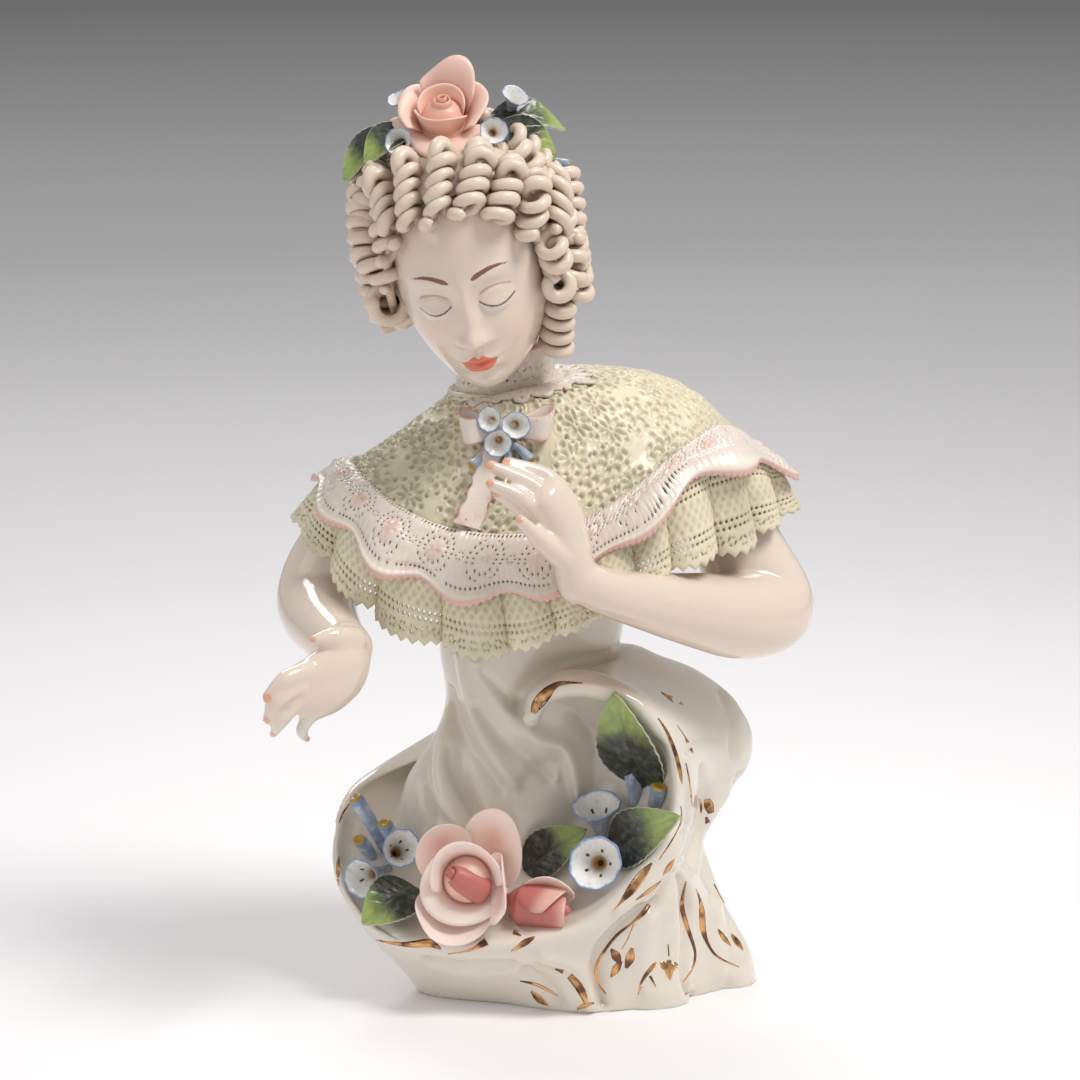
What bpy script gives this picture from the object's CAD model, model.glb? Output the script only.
"""Looks of a porcelain half figure: a lady with coiled clay curls, a lace cape and modelled flowers."""

import math

import bmesh
import bpy
import numpy as np
from bpy.props import FloatProperty, FloatVectorProperty, IntProperty, PointerProperty
from bpy.types import Operator, Panel, PropertyGroup
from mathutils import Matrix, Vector
from mathutils.bvhtree import BVHTree


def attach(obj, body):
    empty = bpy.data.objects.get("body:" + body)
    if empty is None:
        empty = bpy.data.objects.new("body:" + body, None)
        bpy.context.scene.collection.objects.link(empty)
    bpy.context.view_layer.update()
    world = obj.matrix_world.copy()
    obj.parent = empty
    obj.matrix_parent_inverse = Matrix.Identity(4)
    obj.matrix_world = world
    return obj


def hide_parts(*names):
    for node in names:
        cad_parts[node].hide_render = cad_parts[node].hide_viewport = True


bl_info = {
    "name": "Porcelain Lady",
    "version": (1, 0, 0),
    "blender": (4, 5, 0),
    "location": "View3D > Sidebar > Lady",
    "description": "Builds the glazed figure, its clay curls, lace, bow and flowers round the fixed solids",
    "category": "Object",
}

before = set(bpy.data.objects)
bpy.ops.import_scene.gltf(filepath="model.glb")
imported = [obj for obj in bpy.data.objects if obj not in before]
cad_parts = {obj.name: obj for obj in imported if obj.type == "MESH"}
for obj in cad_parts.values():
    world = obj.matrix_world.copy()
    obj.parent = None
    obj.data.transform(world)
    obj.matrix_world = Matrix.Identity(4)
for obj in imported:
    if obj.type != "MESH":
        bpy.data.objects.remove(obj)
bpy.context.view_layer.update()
MM = 0.001
TURN = 2 * math.pi

# Named values shared with the solids, in millimetres
HEAD_HEIGHT = 92
HEAD_WIDTH = 58
HEAD_DEPTH = 74
HEAD_CENTRE = (-24.5, -20, 277)
HEAD_ROLL, HEAD_NOD, HEAD_YAW = 11, 17, -7
BACK_DROP = 0.55
HAIR_LIFT = (14, 10, 7)
SKIRT_TOP = 118
SKIRT_FOLDS = 5

# Camera, as the photograph's: tilt in degrees, distance and aim in millimetres, lens in pixels of its 1080
CAMERA_TILT = 12
CAMERA_AWAY = 1500
LENS_PIXELS = 3989.4
FRAME_PIXELS = 1080
AIM = (0, 0, 169)


TORSO = [
    [-8, 10, 44, 46, 31, 0, 0], [-8, 9, 58, 45, 31, 0, 0], [-8, 8, 75, 41, 30, 0, 0],
    [-6, 6, 90, 34, 28, 0, 0], [-4, 5, 106, 31.5, 26, 0, 2], [-4, 4, 125, 34, 26, 0, 4],
    [-2, 2, 146, 36, 27, 1, 6], [0, 0, 164, 40, 30, 3, 8], [0, -1, 180, 46, 35, 5, 10],
    [0, 3, 196, 55, 35, 7, 12], [-2, 5, 208, 55, 31, 9, 12], [-5, 5, 216, 45, 26, 11, 10],
    [-9, 4, 222, 29, 20.5, 10, 6], [-11.5, 3, 227, 19, 17.5, 8, 0], [-13.5, -1, 235, 16, 16, 6, 0],
    [-16, -6, 246, 15.5, 15.5, 6, 0],
]
LEFT_ARM = [
    [48, 8, 194, 16, 16], [66, 8, 183, 15.5, 15.5], [76, 1, 163, 17, 17], [87, -7, 145.5, 16, 16],
    [75, -20, 144.5, 16.5, 16.5], [55, -35, 150.5, 13.5, 13.5], [37, -49, 157, 10.5, 10.5],
    [23, -60, 163, 8.6, 8.6], [13.5, -65, 168.7, 8.2, 7.6],
]
LEFT_PALM = [
    [14, -65, 166.7, 8, 7.5], [11, -66, 179.7, 8.6, 6.4], [8.5, -66, 191.7, 9, 5.6],
    [4, -67, 199.7, 9, 5],
]
LEFT_FINGERS = [
    [[11, -62, 194.7, 3.4, 3.4], [3, -62, 205.2, 3.1, 3.1], [-11.5, -64, 210.9, 2.3, 2.3]],
    [[8, -66, 192.7, 3.5, 3.5], [-3, -67, 203.2, 3.2, 3.2], [-17.5, -68, 210.3, 2.3, 2.3]],
    [[3, -70, 189.7, 3.4, 3.4], [-7, -72, 199.7, 3.1, 3.1], [-17.5, -73, 204.9, 2.2, 2.2]],
    [[0, -66, 188.7, 3, 3], [-9, -68, 196.2, 2.7, 2.7], [-15, -69, 200.2, 2, 2]],
]
LEFT_THUMB = [
    [9, -70, 176.7, 5, 4.6], [0.5, -75, 184.7, 3.8, 3.6], [-7, -78, 192.7, 2.2, 2.2],
]
RIGHT_ARM = [
    [-46, -6, 190, 15, 15], [-66, -5, 177, 14.5, 14.5], [-79, -3, 162, 14.5, 14.5],
    [-84, -6, 149, 14.8, 14.5], [-81.5, -22, 144, 14, 13.5], [-76, -42, 142, 11.5, 11],
    [-70, -57, 141, 9.5, 9],
]
RIGHT_PALM = [
    [-70, -56, 141, 10, 9], [-71, -66, 137, 11.5, 8.2], [-77, -72, 132, 12.5, 7],
    [-85, -77, 129, 11.5, 5.4],
]
RIGHT_FINGERS = [
    [[-84, -79, 138, 3.5, 3.5], [-91, -85, 136, 3.2, 3.2], [-97, -86.5, 130, 2.4, 2.4]],
    [[-86, -80, 133, 3.5, 3.5], [-93.5, -86, 129, 3.2, 3.2], [-98, -84.5, 121, 2.4, 2.4]],
    [[-86, -79, 128, 3.4, 3.4], [-92, -83, 121, 3, 3], [-96, -80, 114.5, 2.3, 2.3]],
    [[-81, -76, 123, 3.1, 3.1], [-86, -76, 115, 2.7, 2.7], [-84, -71, 110.5, 2.2, 2.2]],
]
RIGHT_THUMB = [
    [-68, -64, 145, 6, 5.4], [-74, -71, 148, 4.4, 4], [-81, -75.5, 148.5, 1.9, 1.9],
]
LEFT_PALM_WIDTH = [-0.55, -0.8, -0.25]
RIGHT_PALM_WIDTH = [-0.35, -0.2, 0.9]
BOWL_BACK = [-12, 4, 72]
BASE_BACK = [6, 40, 52]
RIM = [
    [51.5, -46, 87], [49, -44, 102], [40, -42, 114], [26, -40, 122.5], [10, -36, 123],
    [-4, -22, 113], [-22, 0, 98], [-44, 14, 82], [-60, 19, 73], [-70, 11, 68], [-75, -5, 59],
    [-75, -20, 46], [-65.5, -34, 33], [-48, -46, 26.5], [-25, -55, 27.5], [-3, -59, 30.5],
    [18, -59, 37], [36, -55, 52], [45, -51, 64], [49.5, -48, 75],
]
EDGE = [
    [80.5, 8, 82], [76, 13, 101.5], [61, 16, 114], [46, 15, 120.5], [33, 12, 126], [14, 20, 120],
    [-14, 24, 105], [-40, 26, 88], [-61, 24, 75], [-72, 14, 68.5], [-77, -3, 59], [-76.5, -16, 43],
    [-66, -25, 27], [-52, -25, 9], [-40, -24, -6], [-16, -33, -6], [15, -47, -6], [46, -38, -6],
    [82, -8, 0], [60, -8, 44],
]
VOLUTE = [
    [-2, -29, 107, 3.2, 3.2], [-1, -32, 115, 4.6, 4.6], [7, -33, 121, 5.4, 5.4],
    [20, -35, 121.5, 5.6, 5.4], [34, -37.5, 116, 6, 5], [45, -41, 106, 6, 4],
]
FOLDS = [
    [[-32, -4, 104, 4, 4], [-36, -12, 88, 5, 5], [-34, -18, 74, 6, 6], [-26, -20, 62, 5, 5]],
]
LOBES = [
    [[56, -14, 56, 6, 6], [50, -28, 36, 9, 9], [41, -34, 10, 17, 13], [40, -34, -6, 18, 14]],
    [[58, -10, 50, 5, 5], [63, -11, 28, 8, 8], [71, -12, 8, 11, 10], [73, -12, -6, 11, 10]],
    [[42, -34, 46, 6, 6], [27, -40, 28, 8, 8], [13, -38, 8, 12, 10], [12, -38, -6, 12, 10]],
]
CAPE = [
    [-11.5, 3, 228, 23.5, 22, 8, 0, 0], [-5, 4, 227.5, 29, 25, 9, 5, 1],
    [-1, 4, 222.5, 44, 32, 9.5, 8, 4], [1, 3, 213.5, 60, 40, 7, 10, 10],
]
CAPE_EDGE = [
    [85.5, 0, 196.5], [82, 16, 195], [67, 31, 194], [43, 42, 190], [15, 47, 187], [-14, 46, 183],
    [-42, 39, 185], [-62, 26, 190], [-72, 10, 194], [-74.5, -6, 195], [-69, -24, 191],
    [-57, -39, 181], [-37, -48, 172], [-13, -51, 169], [9, -50, 172], [32, -44, 185],
    [52, -35, 199], [72, -20, 204],
]
HEM = [
    [90, -2, 176], [87, 18, 178], [70, 35, 175], [43, 47, 167], [15, 52, 158], [-16, 51, 153],
    [-46, 44, 157], [-69, 30, 165], [-84, 13, 171], [-87, -6, 171], [-76, -23, 161],
    [-62, -38, 146], [-38, -48, 138], [-8, -53, 135], [16, -52, 146], [35, -47, 157],
    [56, -37, 164], [78, -19, 171],
]
NAPE_RINGLETS = [
    [[12, 35, -20], [12, 36, -35], [11, 33, -47]],
    [[-12, 35, -20], [-12, 36, -35], [-11, 33, -47]],
]
BASE_LEAVES = [
    { "at": [41, -29, 79], "tip": [27, -46, 121], "face": [-0.55, -1, -0.2], "width": 24 },
    { "at": [25, -36, 57], "tip": [51, -56, 77], "face": [-0.4, -1, 0.5], "width": 20 },
    { "at": [-6, -25, 47], "tip": [17, -31, 65], "face": [-0.3, -1, 0.5], "width": 17 },
    { "at": [-46, -30, 42], "tip": [-66, -45, 33], "face": [0, -0.8, 0.7], "width": 19 },
]
BASE_TRUMPETS = [
    { "at": [24, -31, 52], "tip": [20.4, -50, 57.5], "radius": 10 },
    { "at": [24, -24, 56], "tip": [21, -30, 74], "radius": 9.4 },
    { "at": [-57, -14, 45], "tip": [-67, -32, 46], "radius": 7.4 },
    { "at": [-57, -8, 47], "tip": [-52, -30, 57.5], "radius": 7.2 },
]
BASE_BUDS = [
    { "at": [35, -25, 68], "tip": [33.5, -30, 90], "radius": 3.1 },
    { "at": [40, -36, 68], "tip": [44, -42, 85], "radius": 3.1 },
    { "at": [-57, -6, 46], "tip": [-70, -14, 73], "radius": 2.8 },
    { "at": [-53, -8, 45], "tip": [-59, -18, 64], "radius": 2.8 },
    { "at": [-63, -6, 44], "tip": [-68.5, -20, 58], "radius": 2.6 },
]
HAIR_LEAVES = [
    { "at": [-48, -24, 327], "tip": [-63, -31, 314], "face": [-0.5, -1, 0.6], "width": 13 },
    { "at": [-52, -16, 327], "tip": [-71, -27, 308], "face": [-0.8, -1, 0.3], "width": 13 },
    { "at": [-18, -20, 330], "tip": [9.5, -12, 325], "face": [0.1, -0.6, 1], "width": 16 },
    { "at": [-16, -26, 327], "tip": [6, -24, 316], "face": [0.2, -0.9, 0.6], "width": 15 },
]
HAIR_TRUMPETS = [
    { "at": [-48, -26, 321], "tip": [-51, -36, 323], "radius": 5 },
    { "at": [-17.5, -27, 324.5], "tip": [-16.5, -37, 327], "radius": 5 },
    { "at": [-12, -14, 329], "tip": [-9, -20, 338], "radius": 5 },
    { "at": [-48, -14, 328], "tip": [-51, -20, 337], "radius": 4.4 },
]
HAIR_BUDS = [{ "at": [2, -10, 313], "tip": [11, -13, 311], "radius": 2.4 }]
BOW_TRUMPETS = [
    { "at": [-14.5, -33, 215], "tip": [-15.3, -43, 214], "radius": 5.2 },
    { "at": [-9.5, -32, 219.5], "tip": [-8.7, -42, 220.5], "radius": 5.2 },
    { "at": [-16, -31, 220], "tip": [-18.5, -38, 222], "radius": 4.6 },
]
BOW_BUDS = [
    { "at": [-9.5, -35, 212], "tip": [-3, -41, 207], "radius": 1.9 },
    { "at": [-18, -35, 211], "tip": [-25, -41, 205], "radius": 1.9 },
    { "at": [-12, -35, 210], "tip": [-12, -41, 204], "radius": 1.9 },
]
TAIL = [
    [-14, -34, 217, 3, 2], [-19, -38.5, 205, 5, 1.6], [-22, -42, 195, 5.5, 1.6],
    [-26.5, -45.5, 184, 7, 1.6],
]


def spline(rows, t, closed=False):
    """Uniform Catmull-Rom curve through the rows, for an array of t from 0 to 1."""
    rows = np.asarray(rows, float)
    count = len(rows)
    spans = count if closed else count - 1
    s = np.asarray(t, float)
    s = (s % 1 if closed else np.clip(s, 0, 1)) * spans
    i = np.minimum(np.floor(s).astype(int), spans - 1)
    f = (s - i)[..., None]

    def row(k):
        return rows[(i + k) % count] if closed else rows[np.clip(i + k, 0, count - 1)]

    a, b, c, d = row(-1), row(0), row(1), row(2)
    return 0.5 * (2 * b + (c - a) * f + (2 * a - 5 * b + 4 * c - d) * f**2 + (3 * b - a - 3 * c + d) * f**3)


def bump(d):
    """A smooth bump: 1 at 0, falling away as exp(-d squared)."""
    return np.exp(-np.square(d))


def smooth(low, high, v):
    """0 below low, 1 above high, an S curve between."""
    k = np.clip((np.asarray(v, float) - low) / (high - low), 0, 1)
    return k * k * (3 - 2 * k)


def unit(v):
    """Vectors of length 1."""
    v = np.asarray(v, float)
    return v / np.maximum(np.linalg.norm(v, axis=-1, keepdims=True), 1e-9)


def tilted(p, roll, yaw):
    """Points turned by a roll about Y, then by a yaw about Z, both in degrees."""
    r, w = np.radians(roll), np.radians(yaw)
    x = p[..., 0] * np.cos(r) - p[..., 2] * np.sin(r)
    z = p[..., 0] * np.sin(r) + p[..., 2] * np.cos(r)
    y = p[..., 1]
    return np.stack([x * np.cos(w) - y * np.sin(w), x * np.sin(w) + y * np.cos(w), z], -1)


def noise(p, scale, seed=0):
    """Smooth noise from -1 to 1 at 3-D points: a sum of six sine waves in fixed random directions."""
    rng = np.random.default_rng(seed)
    waves = unit(rng.normal(size=(6, 3))) * TURN / scale * rng.uniform(0.6, 1.5, (6, 1))
    shift = rng.uniform(0, TURN, 6)
    return np.sin(np.asarray(p) @ waves.T + shift).sum(-1) / 3.2


# Meshes from whole arrays


def grid_quads(rows, cols, around=True, closed_rows=False):
    """Corner numbers of the quads of a grid whose columns go round, and whose rows may too."""
    r = np.arange(rows if closed_rows else rows - 1)
    c = np.arange(cols if around else cols - 1)
    r, c = (a.ravel() for a in np.meshgrid(r, c, indexing="ij"))
    r2, c2 = (r + 1) % rows, (c + 1) % cols
    return np.stack([r * cols + c, r * cols + c2, r2 * cols + c2, r2 * cols + c], -1)


def skin(rings):
    """Vertices and faces of a closed skin over rings of points, each end closed by a fan to its middle."""
    rows, cols = rings.shape[:2]
    ends = np.stack([rings[0].mean(0), rings[-1].mean(0)])
    verts = np.concatenate([rings.reshape(-1, 3), ends])
    c = np.arange(cols)
    n = (c + 1) % cols
    low = np.stack([n, c, np.full(cols, rows * cols)], -1)
    high = np.stack([c + (rows - 1) * cols, n + (rows - 1) * cols, np.full(cols, rows * cols + 1)], -1)
    return verts, [grid_quads(rows, cols), low, high]


def slab(outer, inner):
    """A closed sheet from its outer and inner grids, with a rim round all four sides."""
    rows, cols = outer.shape[:2]
    verts = np.concatenate([outer.reshape(-1, 3), inner.reshape(-1, 3)])
    quads = grid_quads(rows, cols, around=False)
    ids = np.arange(rows * cols).reshape(rows, cols)
    rim = np.concatenate([ids[0], ids[1:, -1], ids[-1, -2::-1], ids[-2:0:-1, 0]])
    after = np.roll(rim, -1)
    shift = rows * cols
    side = np.stack([after, rim, rim + shift, after + shift], -1)
    return verts, [quads, quads[:, ::-1] + shift, side]


def band(outer, inner):
    """A closed sheet that goes all the way round, from its outer and inner grids of rings."""
    loops = np.concatenate([outer, inner[::-1]])
    return loops.reshape(-1, 3), [grid_quads(loops.shape[0], loops.shape[1], closed_rows=True)]


def merged(parts):
    """Several (vertices, faces) pairs as one."""
    verts, faces, start = [], [], 0
    for v, f in parts:
        verts.append(v)
        faces += [g + start for g in f]
        start += len(v)
    return np.concatenate(verts), faces


def outward(verts, faces):
    """The same faces, turned round if the signed volume they enclose is negative."""
    volume = 0
    for f in faces:
        a = verts[f[:, 0]]
        for k in range(1, f.shape[1] - 1):
            volume += np.einsum("ij,ij->i", a, np.cross(verts[f[:, k]], verts[f[:, k + 1]])).sum()
    return faces if volume > 0 else [f[:, ::-1] for f in faces]


def make_object(name, verts, faces, marks=None):
    """A smooth mesh object from millimetre vertices and arrays of faces, with marks for every vertex."""
    mesh = bpy.data.meshes.new(name)
    sizes = np.concatenate([np.full(len(f), f.shape[1], np.int32) for f in faces])
    corners = np.concatenate([f.ravel() for f in faces]).astype(np.int32)
    mesh.vertices.add(len(verts))
    mesh.vertices.foreach_set("co", (np.asarray(verts, float) * MM).ravel())
    mesh.loops.add(len(corners))
    mesh.loops.foreach_set("vertex_index", corners)
    mesh.polygons.add(len(sizes))
    starts = np.concatenate([[0], np.cumsum(sizes)[:-1]]).astype(np.int32)
    mesh.polygons.foreach_set("loop_start", starts)
    mesh.update(calc_edges=True)
    mesh.validate()
    mesh.polygons.foreach_set("use_smooth", np.ones(len(mesh.polygons), bool))
    for key, values in (marks or {}).items():
        put_mark(mesh, key, values)
    made = bpy.data.objects.new(name, mesh)
    bpy.context.scene.collection.objects.link(made)
    return made


def put_mark(mesh, key, values):
    """Stores one number per vertex as an attribute that a material can read."""
    mark = mesh.attributes.new(key, "FLOAT", "POINT")
    mark.data.foreach_set("value", np.asarray(values, np.float32).ravel())


def points_of(mesh):
    """Vertex places of a mesh in millimetres."""
    co = np.empty(len(mesh.vertices) * 3, np.float32)
    mesh.vertices.foreach_get("co", co)
    return co.reshape(-1, 3).astype(float) / MM


def apply_all(made):
    """Applies every modifier of an object to its mesh."""
    graph = bpy.context.evaluated_depsgraph_get()
    mesh = bpy.data.meshes.new_from_object(made.evaluated_get(graph))
    made.modifiers.clear()
    old = made.data
    made.data = mesh
    mesh.name = made.name
    bpy.data.meshes.remove(old)
    return made


def hand_over(made, material, slot, *nodes):
    """Gives a finished piece its material and its place in the frame's table."""
    if material.name not in [m.name for m in made.data.materials if m]:
        made.data.materials.clear()
        made.data.materials.append(material)
    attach(made, "root")
    if nodes:
        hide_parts(*nodes)
    return made


def limb(stations, width=None, sides=28, steps=48, ends=6):
    """A limb: an elliptical section carried along a curve, with round ends.

    Each station is x, y, z, half width and half thickness. A point is the centre line at t, plus
    cos(a) * half width along the width direction, plus sin(a) * half thickness across it.
    """
    lead = (np.arange(1, ends + 1) / (ends + 1)) * math.pi / 2
    t = np.concatenate([np.zeros(ends), np.linspace(0, 1, steps + 1), np.ones(ends)])
    along = np.concatenate([-np.cos(lead), np.zeros(steps + 1), np.cos(lead[::-1])])
    scale = np.concatenate([np.sin(lead), np.ones(steps + 1), np.sin(lead[::-1])])
    rows = spline(stations, t)
    ahead, behind = spline(stations, np.minimum(t + 0.01, 1)), spline(stations, np.maximum(t - 0.01, 0))
    tangent = unit((ahead - behind)[:, :3])
    side = np.eye(3)[np.argmin(np.abs(tangent).max(0))] if width is None else np.asarray(width, float)
    across = unit(side - (tangent @ side)[:, None] * tangent)
    up = np.cross(tangent, across)
    w, th = rows[:, 3], rows[:, 4]
    centre = rows[:, :3] + tangent * (along * np.minimum(w, th))[:, None]
    a = np.arange(sides) * TURN / sides
    rings = (
        centre[:, None]
        + across[:, None] * (np.cos(a)[None] * (w * scale)[:, None])[..., None]
        + up[:, None] * (np.sin(a)[None] * (th * scale)[:, None])[..., None]
    )
    verts, faces = skin(rings)
    return verts, outward(verts, faces)


# The glazed figure: torso, arms, hands, scroll base and head


def torso_shell(sides=120, steps=150):
    """Ellipses up the body; below the waist their radius waves by a sine of the angle and the height."""
    x, y, z, a, b, roll, yaw = (v[:, None] for v in spline(TORSO, np.linspace(0, 1, steps)).T)
    turn = np.arange(sides)[None] * TURN / sides
    fade = np.clip((SKIRT_TOP - z) / 50, 0, 1)
    fold = 1 + 0.07 * fade * np.sin(SKIRT_FOLDS * turn + z * 0.05)
    flat = np.stack(np.broadcast_arrays(np.cos(turn) * a * fold, np.sin(turn) * b * fold, 0 * turn), -1)
    return skin(tilted(flat, roll, yaw) + np.stack([x, y, z], -1))


def scroll_shell(sides=260, steps=90):
    """The base: at each place round the bowl, a curve from its floor over rim and edge to the back."""
    t = np.arange(sides) / sides
    rim, edge = spline(RIM, t, True), spline(EDGE, t, True)
    bowl, back = np.array(BOWL_BACK, float), np.array(BASE_BACK, float)
    wing = bump(np.where(t > 0.5, t - 0.95, t + 0.05) / 0.14)
    foot = np.clip((20 - edge[:, 2]) / 26, 0, 1)

    def mix(a, b, k, shift=0):
        p = a + (b - a) * k
        p[:, 1] += shift
        return p

    middle = mix(rim, edge, 0.5, 11 * wing - 6)
    behind, hollow = mix(edge, back, 0.3, 8), mix(edge, back, 0.6, 9)
    behind[:, 2] = behind[:, 2] * (1 - foot) - 12 * foot
    hollow[:, 2] = hollow[:, 2] * (1 - foot) - 6 * foot
    stations = np.stack([
        mix(bowl, rim, 0.3), mix(bowl, rim, 0.62, 11), mix(bowl, rim, 0.9, 4), mix(rim, rim, 0, -3),
        middle, edge, behind, hollow, mix(edge, back + (0, 4, 0), 0.9),
    ])
    k = np.linspace(0, 1, steps)
    loops = spline(stations.reshape(len(stations), -1), k).reshape(steps, sides, 3)
    return skin(loops)


def finger(stations):
    """A finger: a limb with a slight swelling at its middle joint."""
    fine = spline(stations, np.linspace(0, 1, 7))
    fine[:, 3:] += 0.16 * bump((np.arange(7) / 6 - 0.5) / 0.12)[:, None]
    return limb(fine, sides=20, steps=26, ends=5)


def body_shells():
    """Every closed shell of the figure below the head."""
    arms = [limb(LEFT_ARM, sides=40, steps=70), limb(RIGHT_ARM, sides=40, steps=60)]
    palms = [limb(LEFT_PALM, LEFT_PALM_WIDTH, 36, 40), limb(RIGHT_PALM, RIGHT_PALM_WIDTH, 36, 40)]
    fingers = [finger(f) for f in [*LEFT_FINGERS, LEFT_THUMB, *RIGHT_FINGERS, RIGHT_THUMB]]
    drapery = [limb(f, sides=24, steps=50) for f in [VOLUTE, *FOLDS, *LOBES]]
    shells = [torso_shell(), scroll_shell(), *arms, *palms, *fingers, *drapery]
    verts, faces = [], []
    for v, f in shells:
        verts.append(v)
        faces.append(outward(v, f))
    return merged(zip(verts, faces))


def on_head(p):
    """Points from the head's own axes (x to its left, y back, z up) to the figure's."""
    rx, ry, rz = np.radians(HEAD_NOD), np.radians(-HEAD_ROLL), np.radians(HEAD_YAW)
    x, y, z = p[..., 0], p[..., 1], p[..., 2]
    y, z = y * np.cos(rx) - z * np.sin(rx), y * np.sin(rx) + z * np.cos(rx)
    x, z = x * np.cos(ry) + z * np.sin(ry), -x * np.sin(ry) + z * np.cos(ry)
    x, y = x * np.cos(rz) - y * np.sin(rz), x * np.sin(rz) + y * np.cos(rz)
    return np.stack([x, y, z], -1) + HEAD_CENTRE


# The face in the head's axes: its thirds, its eyes and how far the chin is drawn up
CHIN_LIFT = 0.87
THIRD = HEAD_HEIGHT * 0.262
BROW_Z = 8.5
NOSE_Z = BROW_Z - THIRD
MOUTH_Z = NOSE_Z - THIRD / 3
EYE_X = HEAD_WIDTH / 5.1
LID_LOW = -2.9
LID_HIGH = 4.2
EYE_BALL = 7.0
EYE_OUT = 3.0


def face_relief(x, z):
    """How far the face stands out from the plain skull: a sum of bumps placed by the thirds of the face."""
    ax = np.abs(x)
    root = BROW_Z - 4
    along = np.clip((root - z) / (root - NOSE_Z), 0, 1)
    ends = np.where(z > root, bump((z - root) / 6), np.where(z < NOSE_Z + 1, bump((z - NOSE_Z - 1) / 1.6), 1))
    nose = (1.6 + 4.0 * along**1.2) * bump(x / (3.2 + 1.6 * along)) * ends
    tip = 1.5 * bump(x / 3.4) * bump((z - NOSE_Z - 2.6) / 3.0)
    wings = 1.5 * bump((ax - 4.2) / 1.9) * bump((z - NOSE_Z - 1.9) / 2.4)
    nostril = -0.9 * bump((ax - 2.4) / 1.1) * bump((z - NOSE_Z + 0.9) / 1.0)
    socket = -3.0 * bump((ax - EYE_X + 1.0) / 7.8) * bump((z - 0.8) / 5.6)
    across = (ax - EYE_X) / 1.15
    ball = np.sqrt(np.clip(EYE_BALL**2 - across**2 - np.square(z + 0.4), 0, None)) - EYE_BALL + EYE_OUT
    lid = 0.5 * (ball + np.sqrt(ball * ball + 0.12))
    e = (ax - EYE_X) / 6.6
    lash_z = LID_LOW + 2.6 * e * e - 0.5 * e
    step = 0.45 * smooth(-0.5, 0.3, z - lash_z) * bump((z - lash_z) / 2.4) * bump(e / 0.9)
    crease = -0.55 * bump((z - LID_HIGH + 2.4 * e * e) / 0.6) * bump(e / 0.85)
    brow = 1.1 * bump((ax - EYE_X) / 8.5) * bump((z - BROW_Z - 0.5) / 3.4)
    cheek = 1.5 * bump((ax - 15) / 8) * bump((z + 13) / 9)
    groove = -0.6 * bump(x / 1.3) * bump((z - (NOSE_Z + MOUTH_Z) / 2 - 0.6) / 2.2)
    bow = 0.9 * bump((ax - 1.9) / 1.4)
    muzzle = 1.6 * bump(x / 9.5) * bump((z - MOUTH_Z) / 6)
    upper = 1.6 * bump(x / 5.8) * bump((z - MOUTH_Z - 1.5 - 0.25 * bow) / 1.5)
    lower = 2.1 * bump(x / 5.0) * bump((z - MOUTH_Z + 2.0) / 1.8)
    part = -0.9 * bump(x / 6.6) * bump((z - MOUTH_Z + 0.1 - 0.012 * x * x) / 0.5)
    under = -1.3 * bump(x / 7) * bump((z - MOUTH_Z + 5.6) / 2.2)
    chin = 2.6 * bump(x / 8.5) * bump((z + CHIN_LIFT * HEAD_HEIGHT / 2 - 6.5) / 5)
    return (nose + tip + wings + nostril + socket + lid + step + crease + brow + cheek + groove + muzzle
            + upper + lower + part + under + chin)


def head_grid(sides=184, steps=210):
    """The skull: ellipses that narrow to the jaw, the front moved out by the face's relief.

    Each ring is an ellipse; its half width follows level to the power 0.8 and its reach to the
    front below the eyes follows level to a low power, so that chin and forehead stand in line.
    """
    u = np.arange(sides)[None] * TURN / sides
    turn = u - 0.62 * np.cos(u)
    v = np.linspace(-0.5, 0.5, steps + 2)[1:-1, None] * math.pi
    rise = v - 0.22 * np.sin(2 * v + 0.5) - 0.22 * np.sin(0.5)
    half = HEAD_HEIGHT / 2
    z = np.sin(rise) * half * np.where(rise < 0, CHIN_LIFT, 1)
    level = np.cos(rise)
    jaw = np.where(z < 0, 1 - 0.22 * np.clip(-z / half, 0, 1) ** 1.5, 1)
    s = np.sin(turn)
    back = np.where((s > 0) & (z < 0), 1 + 0.75 * (z / half) * s, 1)
    square = level ** np.where(rise < 0, 0.7, 0.8)
    lower_face = smooth(4, -12, z) * smooth(-0.1, -0.75, s)
    reach = square * (1 - lower_face) + level**0.3 * lower_face
    x = np.cos(turn) * HEAD_WIDTH / 2 * square * jaw
    y = s * HEAD_DEPTH / 2 * reach * back
    front = np.clip(-s, 0, None)
    z = z + 0 * turn
    y = y - face_relief(x, z) * np.minimum(1, front**0.5 * 1.1) * np.minimum(level * 3, 1)
    return np.stack([x, y, z], -1)


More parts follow.
